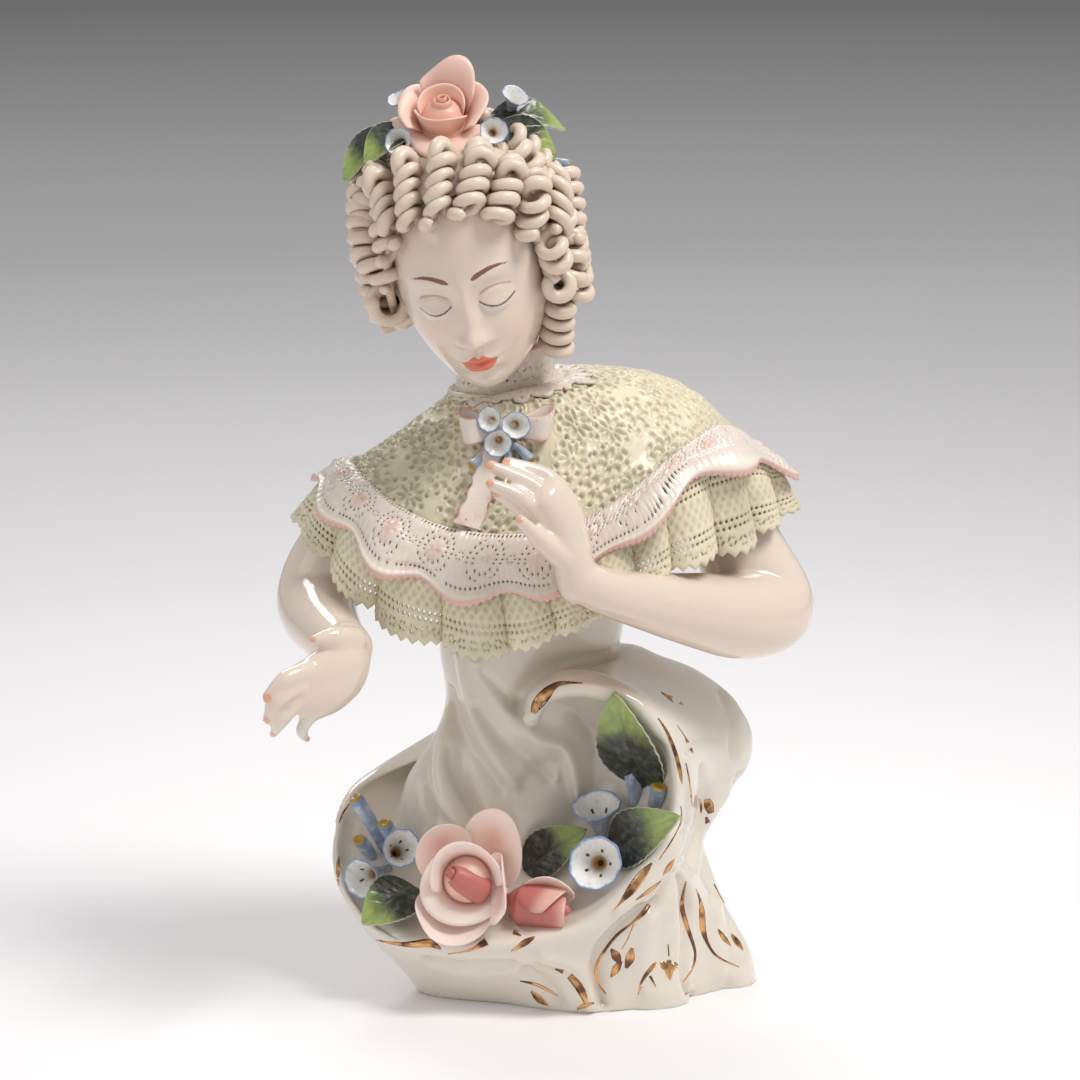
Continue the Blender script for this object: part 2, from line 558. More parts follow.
def face_marks(p):
    """Millimetres inside the outline of each painted part: lips, brows, lashes, lid folds and blush."""
    x, y, z = p[:, 0], p[:, 1], p[:, 2]
    behind = 3 * smooth(-12, -4, y)
    ax = np.abs(x)
    cupid = 0.8 * bump((ax - 1.9) / 1.4) - 0.3 * bump(x / 0.9)
    top = MOUTH_Z + 0.1 + (2.4 + cupid) * np.clip(1 - (x / 6.8) ** 2, 0, 1) ** 0.8
    low = MOUTH_Z - 0.1 - 3.7 * np.clip(1 - (x / 6.2) ** 2, 0, 1) ** 0.7
    lips = np.minimum(np.minimum(top - z, z - low), 6.8 - ax)
    k = np.clip((ax - 4.0) / 14.5, 0, 1)
    arch = BROW_Z + 0.6 + 3.4 * np.sin(k * 2.3) - 1.8 * k
    brows = 1.1 * (1 - k) ** 0.6 * np.clip(k * 8, 0, 1) ** 0.5 - np.abs(z - arch) - 3 * ((k <= 0) | (k >= 1))
    e = (ax - EYE_X) / 6.6
    lash = 0.45 - np.abs(z - (LID_LOW + 2.6 * e * e - 0.5 * e)) - 3 * smooth(0.95, 1.1, np.abs(e))
    fold = 0.42 - np.abs(z - (LID_HIGH - 2.4 * e * e)) - 3 * smooth(0.85, 1.0, np.abs(e))
    blush = 3 * bump((ax - 17) / 6) * bump((z + 15) / 7)
    return lips - behind, brows - behind, lash - behind, fold - behind, blush - behind


# Gilding: strokes of gold on the glaze, painted as seen in the photograph
# Each point is a pixel of the photograph, across and down, and the stroke's width there in pixels
GILDING = {
    "volute_drop": [(533, 713, 5), (537, 705, 11), (545, 695, 12), (553, 687, 7), (563, 683, 4),
                    (583, 683, 1)],
    "rim_line": [(658, 718, 1), (667, 732, 3), (675, 752, 4), (680, 772, 4), (682, 784, 1)],
    "rim_thread": [(686, 763, 1), (690, 785, 1.4), (693, 815, 1)],
    "rim_thread_low": [(681, 806, 1), (681, 822, 1.6), (672, 840, 1.4), (659, 860, 1)],
    "top_leaf_1": [(655, 687, 1), (662, 690, 5), (669, 694, 1)],
    "top_leaf_2": [(668, 695, 1), (676, 700, 4.5), (683, 705, 1)],
    "top_leaf_3": [(661, 692, 1), (668, 697, 3), (673, 702, 1)],
    "side_leaf_1": [(687, 726, 1), (692, 731, 6), (697, 737, 1)],
    "side_leaf_2": [(700, 751, 1), (703, 757, 5.5), (706, 763, 1)],
    "side_stem": [(677, 725, 1), (685, 737, 1.2), (689, 746, 4.5), (693, 753, 1)],
    "side_oval": [(707, 799, 6), (709, 806, 10), (711, 813, 6)],
    "side_oval_foot": [(706, 817, 2), (710, 828, 7.5), (716, 841, 1.5)],
    "side_oval_edge": [(699, 799, 1), (701, 806, 3), (701, 813, 1)],
    "ridge_leaf_1": [(674, 859, 1), (669, 867, 5.5), (663, 875, 1)],
    "ridge_leaf_2": [(661, 881, 1), (650, 890, 4), (636, 900, 1)],
    "ridge_band": [(652, 863, 2), (642, 875, 9), (631, 890, 9), (621, 902, 3), (614, 910, 1)],
    "lobe_line": [(649, 905, 4), (643, 913, 5), (632, 923, 2.5), (617, 935, 3), (605, 950, 3),
                  (597, 965, 3.4), (597, 980, 3), (606, 994, 1)],
    "lobe_stem": [(634, 923, 1), (629, 936, 1.2), (622, 949, 1.2)],
    "lobe_leaf_1": [(611, 949, 2), (616, 956, 9.5), (620, 963, 3)],
    "lobe_leaf_2": [(621, 961, 3), (616, 969, 8), (611, 977, 2)],
    "lobe_leaf_3": [(632, 948, 3), (630, 958, 9.5), (626, 968, 3)],
    "middle_leaf_1": [(640, 985, 1.5), (645, 976, 3.5), (653, 966, 4), (656, 962, 1)],
    "middle_leaf_2": [(641, 986, 3), (638, 995, 1)],
    "middle_leaf_3": [(650, 976, 3), (656, 987, 1)],
    "petal_stem": [(668, 944, 1), (669, 956, 1.4)],
    "petal_1": [(669, 960, 4), (669, 971, 8), (670, 980, 1.5)],
    "petal_2": [(661, 961, 3), (664, 966, 7), (668, 972, 2)],
    "petal_3": [(679, 962, 3), (675, 966, 7), (671, 972, 2)],
    "long_curve_1": [(686, 881, 1), (682, 905, 4.4), (687, 926, 4.4), (695, 952, 2.6), (692, 969, 2),
                     (683, 982, 1)],
    "long_curve_2": [(696, 889, 1), (700, 900, 2.5), (702, 913, 6), (703, 929, 6), (708, 944, 3),
                     (718, 957, 2.4), (739, 967, 1)],
    "foot_leaf_1": [(718, 929, 1.5), (724, 938, 5), (731, 946, 1)],
    "foot_leaf_2": [(731, 934, 2), (737, 942, 6), (743, 950, 1.5)],
    "foot_thread": [(714, 884, 1), (726, 906, 1.3), (742, 930, 1.2), (757, 956, 1.5)],
    "crescent": [(555, 969, 1.5), (566, 973, 6), (576, 983, 8), (583, 994, 7.5), (586, 1004, 3)],
    "crescent_foot": [(577, 1009, 2), (586, 1005, 5), (594, 1003, 2)],
    "under_line": [(520, 981, 1), (535, 984, 3), (548, 990, 3), (558, 996, 1)],
    "under_leaf": [(531, 991, 2), (539, 999, 7), (548, 1005, 2)],
    "left_line": [(339, 856, 1.5), (338, 868, 4), (339, 888, 1)],
    "left_thread": [(349, 804, 1), (343, 813, 2), (339, 823, 1)],
    "front_band_1": [(376, 940, 1), (400, 944, 4), (416, 944, 7), (429, 943, 8), (441, 949, 2)],
    "front_band_2": [(448, 954, 1), (470, 950, 2.4), (484, 943, 7), (496, 935, 8.5), (510, 931, 6),
                     (521, 936, 2)],
    "front_band_3": [(535, 937, 2), (526, 942, 6.5), (518, 947, 4), (511, 951, 1)],
}
# How far apart the rows across a stroke lie, in pixels
STROKE_STEP = 2.2
# Largest step in depth across a row, and from row to row, that still belongs to one stroke
ROW_DEPTH = 3.5
ROW_GAP = 4
GOLD_COLUMNS = 4
# Folds and hollows of the skirt and base: height in millimetres, and the same kind of points
CARVING = {
    "skirt_ridge_1": (1.7, [(460, 655, 12), (470, 700, 17), (490, 745, 19), (515, 785, 10)]),
    "skirt_ridge_2": (1.6, [(476, 662, 12), (500, 700, 15), (525, 735, 17), (550, 760, 15), (556, 778, 8)]),
    "skirt_valley_1": (-2.0, [(482, 672, 10), (500, 692, 14), (517, 706, 12)]),
    "skirt_valley_2": (-2.2, [(476, 708, 10), (500, 740, 17), (535, 762, 17), (549, 778, 10)]),
    "skirt_valley_3": (-1.8, [(452, 690, 10), (458, 720, 15), (474, 752, 17), (500, 790, 12)]),
    "skirt_hollow": (-2.6, [(547, 768, 20), (538, 776, 26), (528, 783, 20)]),
    "s_ridge": (2.6, [(534, 714, 12), (528, 726, 17), (540, 738, 19), (560, 746, 18), (569, 758, 16),
                      (574, 776, 16), (576, 796, 10)]),
    "rim_valley": (-3.0, [(514, 704, 14), (530, 685, 20), (550, 669, 24), (574, 662, 20), (610, 656, 10)]),
    "left_fold_1": (-1.7, [(431, 752, 12), (427, 775, 16), (438, 815, 12)]),
    "left_fold_2": (-1.7, [(450, 750, 12), (455, 775, 17), (478, 812, 12)]),
    "foot_groove_1": (-4.0, [(657, 903, 12), (627, 924, 17), (604, 949, 17), (597, 975, 15),
                             (604, 1004, 10)]),
    "foot_groove_2": (-3.8, [(684, 880, 12), (689, 930, 17), (687, 975, 15), (694, 1000, 10)]),
    "foot_lobe_1": (2.2, [(648, 918, 22), (640, 950, 36), (650, 990, 34)]),
    "foot_lobe_2": (2.0, [(716, 905, 18), (718, 940, 30), (722, 972, 24)]),
    "crescent_ridge": (2.6, [(545, 958, 16), (570, 965, 20), (586, 982, 20), (590, 1004, 14)]),
    "crescent_hollow": (-2.4, [(528, 972, 14), (548, 986, 18), (560, 1004, 14)]),
    "right_ridge": (2.2, [(684, 760, 10), (688, 800, 16), (676, 850, 18), (650, 884, 16), (620, 910, 12)]),
    "right_hollow": (-2.6, [(702, 770, 12), (704, 810, 20), (690, 858, 22), (664, 892, 16)]),
    "flute_high": (-2.2, [(722, 690, 14), (734, 720, 22), (735, 748, 16)]),
    "flute_low": (-2.4, [(740, 776, 14), (730, 806, 24), (712, 838, 16)]),
    "left_hollow": (-2.2, [(352, 822, 14), (348, 860, 22), (362, 905, 22), (392, 936, 14)]),
    "front_hollow": (-2.4, [(430, 962, 12), (470, 968, 18), (510, 966, 14)]),
}
CAMERA_LIFT = CAMERA_AWAY * math.sin(math.radians(CAMERA_TILT))
CAMERA_AT = (0, -CAMERA_AWAY * math.cos(math.radians(CAMERA_TILT)), AIM[2] + CAMERA_LIFT)


def sight(across, down):
    """Direction from the camera through a pixel of the photograph."""
    tilt = math.radians(CAMERA_TILT)
    ahead = Vector((0, math.cos(tilt), -math.sin(tilt))) * LENS_PIXELS
    up = Vector((0, math.sin(tilt), math.cos(tilt))) * (FRAME_PIXELS / 2 - down)
    return (ahead + up + Vector((across - FRAME_PIXELS / 2, 0, 0))).normalized()


def laid(tree, stroke, columns):
    """Where the camera's sight through a stroke meets the surface: grids of points, normals and widths.

    A stroke is a curve through its pixels. Each row of the grid lies across it, as wide as the
    stroke is there. A row that misses the surface, or that spans a step in it, is left out.
    """
    places = np.array(stroke, float)
    long = np.linalg.norm(np.diff(places[:, :2], axis=0), axis=1).sum()
    rows = spline(stroke, np.linspace(0, 1, max(int(long / STROKE_STEP), 5)))
    along = unit(np.gradient(rows[:, :2], axis=0))
    aside = np.stack([-along[:, 1], along[:, 0]], -1)
    share = np.linspace(-0.5, 0.5, columns) if columns > 1 else np.zeros(1)
    pixels = rows[:, None, :2] + aside[:, None] * share[None, :, None] * rows[:, None, 2:]
    nothing = (math.nan,) * 3
    found = [tree.ray_cast(Vector(CAMERA_AT) * MM, sight(*pixel)) for pixel in pixels.reshape(-1, 2)]
    spots = np.array([hit[0] or nothing for hit in found]).reshape(len(rows), columns, 3) / MM
    normals = np.array([hit[1] or nothing for hit in found]).reshape(len(rows), columns, 3)
    whole = np.isfinite(spots).all((1, 2))
    whole[whole] = np.ptp(spots[whole][..., 1], axis=1) < ROW_DEPTH
    apart = np.linalg.norm(np.diff(spots[whole][:, 0], axis=0), axis=1) > ROW_GAP
    kept = np.flatnonzero(whole)
    cuts = np.flatnonzero(apart | (np.diff(kept) > 1)) + 1
    wide = rows[:, 2] * CAMERA_AWAY / LENS_PIXELS
    return [(spots[run], normals[run], wide[run]) for run in np.split(kept, cuts) if len(run) > 2]


def carve(body):
    """Moves the surface along its normals by each stroke's height, falling away as exp(-(2d / width)^2)."""
    p = points_of(body.data)
    normals = np.empty(len(p) * 3, np.float32)
    body.data.vertices.foreach_get("normal", normals)
    normals = normals.reshape(-1, 3)
    tree = BVHTree.FromObject(body, bpy.context.evaluated_depsgraph_get())
    push = np.zeros(len(p))
    for height, stroke in CARVING.values():
        for spots, facing, wide in laid(tree, stroke, 1):
            reach = wide.max() + 2
            low, high = spots[:, 0].min(0) - reach, spots[:, 0].max(0) + reach
            near = np.all((p > low) & (p < high), axis=1)
            away = np.linalg.norm(p[near][:, None] - spots[None, :, 0], axis=-1)
            share = bump(2 * away / wide) * smooth(0, 0.4, normals[near] @ facing[:, 0].T)
            push[near] += height * share.max(1)
    body.data.vertices.foreach_set("co", ((p + normals * push[:, None]) * MM).ravel())
    body.data.update()


def gilded(tree):
    """Thin closed ribbons laid on the glaze along the strokes of gold, thickest along their middles."""
    share = np.linspace(-1, 1, GOLD_COLUMNS)[None, :, None]
    parts = []
    for stroke in GILDING.values():
        for spots, normals, _ in laid(tree, stroke, GOLD_COLUMNS):
            top = spots + normals * (0.05 + 0.06 * (1 - share * share))
            verts, faces = slab(top, spots - 0.2 * normals)
            parts.append((verts, outward(verts, faces)))
    return merged(parts)


# Materials


def nail_of(stations):
    """Where a finger's nail is painted: on the near side of its tip, with the radius of the mark."""
    tip, before = np.array(stations[-1], float), np.array(stations[-2], float)
    return (*(tip[:3] + tip[3] * (0.3 * unit(tip[:3] - before[:3]) + (0, -0.9, 0.25))), 0.85 * tip[3])


NAILS = [nail_of(f) for f in [*LEFT_FINGERS, LEFT_THUMB, *RIGHT_FINGERS, RIGHT_THUMB]]


class Finish:
    """A material's node tree, with a short call for each kind of node used here."""

    def __init__(self, name, roughness=0.4, **sockets):
        self.material = bpy.data.materials.new(name)
        self.material.use_nodes = True
        self.tree = self.material.node_tree
        self.shader = self.tree.nodes["Principled BSDF"]
        self.set(Roughness=roughness, **sockets)
        self.place = self.add("ShaderNodeTexCoord").outputs["Object"]

    def set(self, **sockets):
        """Sets the shader's sockets; a double underscore stands for a space in the socket's name."""
        for key, value in sockets.items():
            self.give(self.shader.inputs[key.replace("__", " ")], value)
        return self

    def add(self, kind, **settings):
        """A new node with its settings."""
        node = self.tree.nodes.new(kind)
        for key, value in settings.items():
            setattr(node, key, value)
        return node

    def give(self, socket, value):
        """Links a socket to another one, or sets it to a number, vector or colour."""
        if isinstance(value, bpy.types.NodeSocket):
            self.tree.links.new(value, socket)
        elif isinstance(value, tuple) and len(value) == 3 and socket.type == "RGBA":
            socket.default_value = (*value, 1)
        else:
            socket.default_value = value

    def math(self, how, a, b=0.0, clamp=False):
        """One step of arithmetic on two values."""
        node = self.add("ShaderNodeMath", operation=how, use_clamp=clamp)
        for socket, value in zip(node.inputs, (a, b)):
            self.give(socket, value)
        return node.outputs[0]

    def length(self, how, a, b=(0, 0, 0)):
        """The number that a step of vector arithmetic gives: a length or a distance."""
        node = self.add("ShaderNodeVectorMath", operation=how)
        self.give(node.inputs[0], a)
        self.give(node.inputs[1], b)
        return node.outputs["Value"]

    def mix(self, share, a, b):
        """The colour a, turned into b by the share."""
        node = self.add("ShaderNodeMix", data_type="RGBA")
        self.give(node.inputs[0], share)
        self.give(node.inputs[6], a)
        self.give(node.inputs[7], b)
        return node.outputs[2]

    def mark(self, key):
        """The number stored under this name at every vertex."""
        return self.add("ShaderNodeAttribute", attribute_name=key).outputs["Fac"]

    def noise(self, size, detail=2.0, rough=0.5):
        """Noise whose features are about size millimetres across."""
        node = self.add("ShaderNodeTexNoise")
        self.give(node.inputs["Vector"], self.place)
        node.inputs["Scale"].default_value = 1000 / size
        node.inputs["Detail"].default_value = detail
        node.inputs["Roughness"].default_value = rough
        return node.outputs["Fac"]

    def range(self, value, low, high, to_low=0.0, to_high=1.0):
        """The value carried smoothly from one range to another, 0 to 1 unless said otherwise."""
        node = self.add("ShaderNodeMapRange", interpolation_type="SMOOTHSTEP")
        for socket, v in zip(node.inputs, (value, low, high, to_low, to_high)):
            self.give(socket, v)
        return node.outputs[0]

    def relief(self, height, depth):
        """A bump of depth millimetres from a height between 0 and 1."""
        node = self.add("ShaderNodeBump")
        node.inputs["Strength"].default_value = 1
        node.inputs["Distance"].default_value = depth * MM
        self.give(node.inputs["Height"], height)
        self.set(Normal=node.outputs[0])


def glaze_finish(looks):
    """Clear glaze over porcelain: off-white below, warmer on skin, with a painted face and nails."""
    f = Finish("white_glaze", 0.13, IOR=1.5, Subsurface__Weight=0.1, Subsurface__Scale=0.003)
    f.set(Coat__Weight=0.6, Coat__Roughness=0.05)
    cloudy = f.noise(45, 3)
    colour = f.mix(cloudy, tuple(looks.glaze), tuple(0.965 * c for c in looks.glaze))
    colour = f.mix(f.mark("skin"), colour, tuple(looks.skin))
    colour = f.mix(f.math("MULTIPLY", f.mark("blush"), 0.08, clamp=True), colour, (0.86, 0.42, 0.32))
    nails = None
    for nail in NAILS:
        away = f.length("DISTANCE", f.place, tuple(v * MM for v in nail[:3]))
        near = f.range(away, nail[3] * 1.12 * MM, nail[3] * 0.7 * MM)
        nails = near if nails is None else f.math("MAXIMUM", nails, near)
    colour = f.mix(f.math("MULTIPLY", nails, 0.7), colour, (0.86, 0.32, 0.16))
    hairs = f.math("MULTIPLY", f.noise(0.9, 3), 0.5)

    def painted(key, under, paint, share=1.0):
        depth = f.math("ADD", f.mark(key), f.math("SUBTRACT", hairs, 0.25))
        return f.mix(f.math("MULTIPLY", f.range(depth, -0.12, 0.18), share), under, paint)

    colour = painted("fold", colour, (0.36, 0.2, 0.15), 0.5)
    colour = painted("brows", colour, (0.19, 0.05, 0.025), 0.92)
    colour = painted("lash", colour, (0.06, 0.065, 0.1), 0.9)
    colour = painted("lips", colour, (0.74, 0.14, 0.07), 0.92)
    f.set(Base__Color=colour)
    f.relief(f.noise(60, 1), 0.25)
    return f.material


def gold_finish():
    """Worn gold: bright with darker, redder cloudy patches."""
    f = Finish("worn_gold", 0.26, Metallic=0.9)
    worn = f.range(f.noise(6, 3), 0.38, 0.6)
    f.set(Base__Color=f.mix(worn, (0.74, 0.40, 0.17), (0.17, 0.08, 0.045)))
    f.relief(f.noise(1.4, 2), 0.04)
    return f.material


# Hair: soft clay ropes laid in standing coils


CAP_HEIGHT = HEAD_HEIGHT / 2 + HAIR_LIFT[2]


def hairline(away):
    """Height of the hair's lower edge in the head's axes: high over the face, down to the nape behind."""
    return 30 - 54 * smooth(38, 78, away) - 11 * smooth(90, 150, away)


def hair_cap(turn, rise, dip=0):
    """The dome that carries the hair: an ellipse with a flattened crown, shrunk by dip millimetres."""
    level = np.cos(rise) ** 0.66
    return np.stack([
        np.cos(turn) * level * (HEAD_WIDTH / 2 + HAIR_LIFT[0] - dip),
        np.sin(turn) * level * (HEAD_DEPTH / 2 + HAIR_LIFT[1] - dip),
        np.sin(rise) * (CAP_HEIGHT - dip / 2),
    ], -1)


def away_from_face(turn):
    """Degrees round the head from the middle of the face."""
    d = np.degrees(turn) + 90
    return np.abs((d + 180) % 360 - 180)


def resampled(path, step):
    """The same path with points one step apart, and with whatever else its rows carry."""
    length = np.concatenate([[0], np.cumsum(np.linalg.norm(np.diff(path[:, :3], axis=0), axis=1))])
    want = np.linspace(0, length[-1], max(int(length[-1] / step) + 1, 8))
    return np.stack([np.interp(want, length, column) for column in path.T], -1)


def rope(path, centre, radius, sides=10, step=1.5, seed=0):
    """A round rope along a path that winds round a centre line; both ends are drawn to blunt tips.

    Its section is a circle spanned by the direction away from the centre line and the one across
    that and the path. Its thickness waves a little, as sines of the place along it.
    """
    both = resampled(np.concatenate([path, centre], -1), step)
    n = len(both)
    p, c = both[:, :3], both[:, 3:]
    tangent = unit(np.gradient(p, axis=0))
    side = p - c
    side = unit(side - tangent * (side * tangent).sum(-1, keepdims=True))
    other = np.cross(tangent, side)
    u = np.linspace(0, 1, n)
    reach = np.minimum(u, 1 - u) * n * step / radius
    size = radius * np.sqrt(np.clip(1 - (1 - np.clip(reach, 0, 1)) ** 2, 0.02, 1))
    size = size * (1 + 0.06 * np.sin(u * n * 0.21 + seed) + 0.04 * np.sin(u * n * 0.53 + 2 * seed))
    a = np.arange(sides) * TURN / sides
    ring = np.cos(a)[None, :, None] * side[:, None] + np.sin(a)[None, :, None] * other[:, None]
    verts, faces = skin(p[:, None] + ring * size[:, None, None])
    return verts, outward(verts, faces)


def coil(line, normal, wide, deep, pitch, lean, phase=0.0, skew=0.0, per_turn=26):
    """A coil round a centre line, and that line at the same steps.

    With phi the angle of the coil, its point is the centre line, plus cos(phi) * wide across the
    line, plus sin(phi) * deep along the normal. The first direction is skewed and the second
    leans towards the line, both in degrees, so that the strands lie aslant.
    """
    line = resampled(line, 1.0)
    normal = spline(normal, np.linspace(0, 1, len(line)))
    turns = len(line) / pitch
    u = np.linspace(0, 1, int(turns * per_turn) + 8)
    c = spline(line, u)
    along = unit(np.gradient(c, axis=0))
    up = spline(normal, u)
    up = unit(up - along * np.einsum("ij,ij->i", up, along)[:, None])
    across = np.cross(along, up)
    phi = phase + TURN * turns * u
    lean, skew = np.radians(lean), np.radians(skew)
    raised = up * math.cos(lean) + along * math.sin(lean)
    across = across * math.cos(skew) + along * math.sin(skew)
    return c + across * (np.cos(phi) * wide)[:, None] + raised * (np.sin(phi) * deep)[:, None], c


# Curls over the forehead: the pixel and depth of the curl's eye, those of its lower end, and its slant
FRINGE = [
    (379, 186, -42, 398, 243, -50, 36),
    (407, 169, -50, 412, 236, -56, 42),
    (443, 160, -55, 435, 231, -61, 44),
    (480, 162, -55, 463, 224, -62, 32),
    (511, 176, -53, 493, 230, -59, 26),
    (535, 188, -50, 530, 240, -52, 28),
]
# Curls at the sides of the face: a centre line of pixels with depths, half width, pitch and slant
SIDE_CURLS = [
    ([(370, 166, -18), (364, 192, -24), (363, 220, -28), (367, 258, -28)], 4.2, 5.4, 24),
    ([(385, 212, -40), (386, 230, -42), (391, 256, -42)], 4.4, 5.6, 30),
    ([(366, 252, -26), (379, 268, -31), (397, 283, -33)], 4.6, 5.6, -24),
    ([(389, 296, -12), (389, 302, -22), (390, 305, -30)], 6.2, 7.0, 0),
    ([(402, 312, -20), (408, 318, -22), (412, 323, -22)], 3.4, 5.0, 0),
    ([(549, 172, -30), (556, 196, -38), (556, 232, -42)], 4.4, 5.6, -26),
    ([(562, 168, -20), (569, 200, -24), (570, 240, -28)], 4.0, 5.4, 16),
    ([(547, 236, -45), (554, 252, -44), (559, 268, -40)], 4.2, 5.4, 30),
    ([(568, 240, -30), (573, 262, -32), (569, 284, -32)], 4.2, 6.4, 10),
    ([(560, 276, -26), (559, 283, -34), (559, 286, -42)], 4.2, 5.4, 0),
    ([(559, 300, -28), (557, 326, -24), (556, 352, -20)], 4.6, 5.8, 8),
]


def at_depth(across, down, depth):
    """The point seen at a pixel of the photograph whose y is the given depth, in millimetres."""
    way = np.array(sight(across, down))
    return np.array(CAMERA_AT) + way * (depth - CAMERA_AT[1]) / way[1]


def fringe_line(eye_x, eye_y, eye_depth, low_x, low_y, low_depth):
    """Centre line of a forehead curl: it runs towards the viewer to its eye, then bends down to its end."""
    return np.array([
        at_depth(eye_x - 2, eye_y - 8, eye_depth + 14),
        at_depth(eye_x - 1, eye_y - 4, eye_depth + 8),
        at_depth(eye_x, eye_y, eye_depth + 3),
        at_depth(0.75 * eye_x + 0.25 * low_x, eye_y + 12, eye_depth + 1),
        at_depth(0.3 * eye_x + 0.7 * low_x, low_y - 18, low_depth + 4),
        at_depth(low_x, low_y - 8, low_depth + 4),
    ])


def plain_cap(sides=72, steps=26):
    """The smooth cap of clay under the curls, from the hairline to the crown."""
    turn = np.arange(sides) * TURN / sides
    away = away_from_face(turn)
    low = np.arcsin(np.clip((hairline(away) + 3 + 9 * smooth(100, 80, away)) / CAP_HEIGHT, -1, 1))
    share = np.linspace(0, 1, steps)[:, None]
    rise = low + (math.radians(89) - low) * share
    outer, inner = hair_cap(turn + 0 * rise, rise, 9), hair_cap(turn + 0 * rise, rise, 12)
    verts, faces = skin(on_head(np.concatenate([inner[::-1], outer])))
    return verts, outward(verts, faces)


def build_hair(looks):
    """Curls placed by sight over and beside the face, columns of coils behind, and a plain cap under them."""
    rng = np.random.default_rng(11)
    parts = []

    def wind(line, normal, wide, deep, pitch, lean, skew, seed):
        path, centre = coil(line, normal, wide, deep, pitch, lean, rng.uniform(0, TURN), skew)
        parts.append(rope(path, centre, looks.rope / 2, seed=seed))

    middle = np.array(HEAD_CENTRE, float) + (0, 6, -14)
    for k, (*places, slant) in enumerate(FRINGE):
        line = spline(fringe_line(*places), np.linspace(0, 1, 40))
        wind(line, line - middle, 4.7, 4.6, 5.2, 0, slant + 8, k)
    for k, (places, wide, pitch, slant) in enumerate(SIDE_CURLS):
        line = spline([at_depth(*p) for p in places], np.linspace(0, 1, 24))
        wind(line, line - middle, wide, wide, pitch, 0, slant, k + 20)
    columns = looks.hair_columns
    for k in range(columns):
        turn = (k + 0.5) * TURN / columns - math.pi / 2
        away = away_from_face(turn)
        if away < 84:
            continue
        low = math.asin((hairline(away) + 4) / CAP_HEIGHT)
        high = 60 + 22 * float(smooth(120, 165, away))
        rise = np.linspace(math.radians(high), low, 24)
        sway = turn + 0.05 * np.sin(np.linspace(0, 6, 24) + rng.uniform(0, 6))
        line = hair_cap(sway, rise, 6.4)
        wind(on_head(line), on_head(line * [2, 1.8, 1.75]) - on_head(line), rng.uniform(4.4, 4.9), 4.6,
             rng.uniform(5.6, 6.4), rng.uniform(-6, 10), rng.uniform(18, 34), k + 40)
    for k, hang in enumerate(NAPE_RINGLETS):
        line = on_head(spline(hang, np.linspace(0, 1, 24)))
        wind(line, line - middle, 4.2, 4.2, 5.2, 0, 12, k + 90)
    parts.append(plain_cap())
    made = make_object("hair_ringlets", *merged(parts))
    return hand_over(made, hair_finish(looks), "hair_glaze", "hair_ringlets")


def hair_finish(looks):
    """Pinkish beige satin glaze, darker where the ropes lie deep between others."""
    f = Finish("hair_glaze", 0.34, IOR=1.48, Subsurface__Weight=0.1, Subsurface__Scale=0.002)
    f.set(Coat__Weight=0.25, Coat__Roughness=0.25)
    cloudy = f.noise(14, 3)
    colour = f.mix(cloudy, tuple(looks.hair), tuple(c * w for c, w in zip(looks.hair, (0.93, 0.9, 0.87))))
    ao = f.add("ShaderNodeAmbientOcclusion", samples=4)
    ao.inputs["Distance"].default_value = 6 * MM
    crevice = f.range(ao.outputs["AO"], 0.75, 0.15)
    colour = f.mix(f.math("MULTIPLY", crevice, 0.6), colour, (0.28, 0.19, 0.13))
    f.set(Base__Color=colour)
    f.relief(f.noise(1.6, 3), 0.12)
    return f.material


# Lace: cape, ruffle, trim and collar

# Millimetres: the cape's thickness, the room kept for the ruffle under the trim, and a clear gap
CAPE_THICK = 1.8
LACE_THICK = 1.4
GAP = 0.15
# How far the ruffle's panels bulge out, and how far the creases between them lie back
PLEAT_DEPTH = 5
CREASE = -4
# Where the ruffle's panels meet, as turns round the drape in degrees
PANELS = [178, 199, 221, 242, 258, 272, 286, 300, 313, 328, 341, 356, 373, 391, 411, 433, 456, 479, 500, 519]
# The trim: waves round its lower edge, the turn in degrees where it is slid up,
# cells from one medallion to the next, and the row of cells where their middles lie
TRIM_WAVES = 13
RAISED_AT = -28
MEDALLION = 36
MEDALLION_ROW = 13


def cape_rings(turn):
    """The cape's stations as rings of points, the last one its edge; front and back hang lower."""
    front, back = np.clip(-np.sin(turn), 0, None), np.clip(np.sin(turn), 0, None)
    rings = []
    for x, y, z, a, b, roll, yaw, dip in CAPE:
        down = dip * (front**1.3 + BACK_DROP * back**1.3)
        rings.append(tilted(np.stack([np.cos(turn) * a, np.sin(turn) * b, -down], -1), roll, yaw) + (x, y, z))
    return np.stack([*rings, spline(CAPE_EDGE, turn / TURN, True)])


def drape(turn, levels):
    """Grid of the drape: below 0 a level lies on the cape, 0 is its edge and 1 the hem of the ruffle."""
    rings = cape_rings(turn)
    on_cape = spline(rings.reshape(len(rings), -1), 1 + np.minimum(levels, 0) * 0.25)
    grid = on_cape.reshape(len(levels), len(turn), 3)
    hem = spline(HEM, turn / TURN, True)
    below = np.clip(levels, 0, None)[:, None, None]
    return grid + (hem - rings[-1])[None] * below


def normals_of(grid):
    """Unit normals of a grid whose columns go all the way round, facing out."""
    along = np.roll(grid, -1, 1) - np.roll(grid, 1, 1)
    down = np.gradient(grid, axis=0)
    return unit(np.cross(down, along))


def even_turns(make, count):
    """Angles whose points on a curve all round, made by the given function, lie evenly far apart."""
    fine = np.linspace(0, TURN, 4001)
    row = make(fine)
    length = np.concatenate([[0], np.cumsum(np.linalg.norm(np.diff(row, axis=0), axis=1))])
    return np.interp(np.arange(count) / count * length[-1], length, fine)


def luck(name, seed=0.0):
    """A number from 0 to 1 that looks random but always follows from the name."""
    v = np.sin(name + seed) * 43758.5453
    return v - np.floor(v)


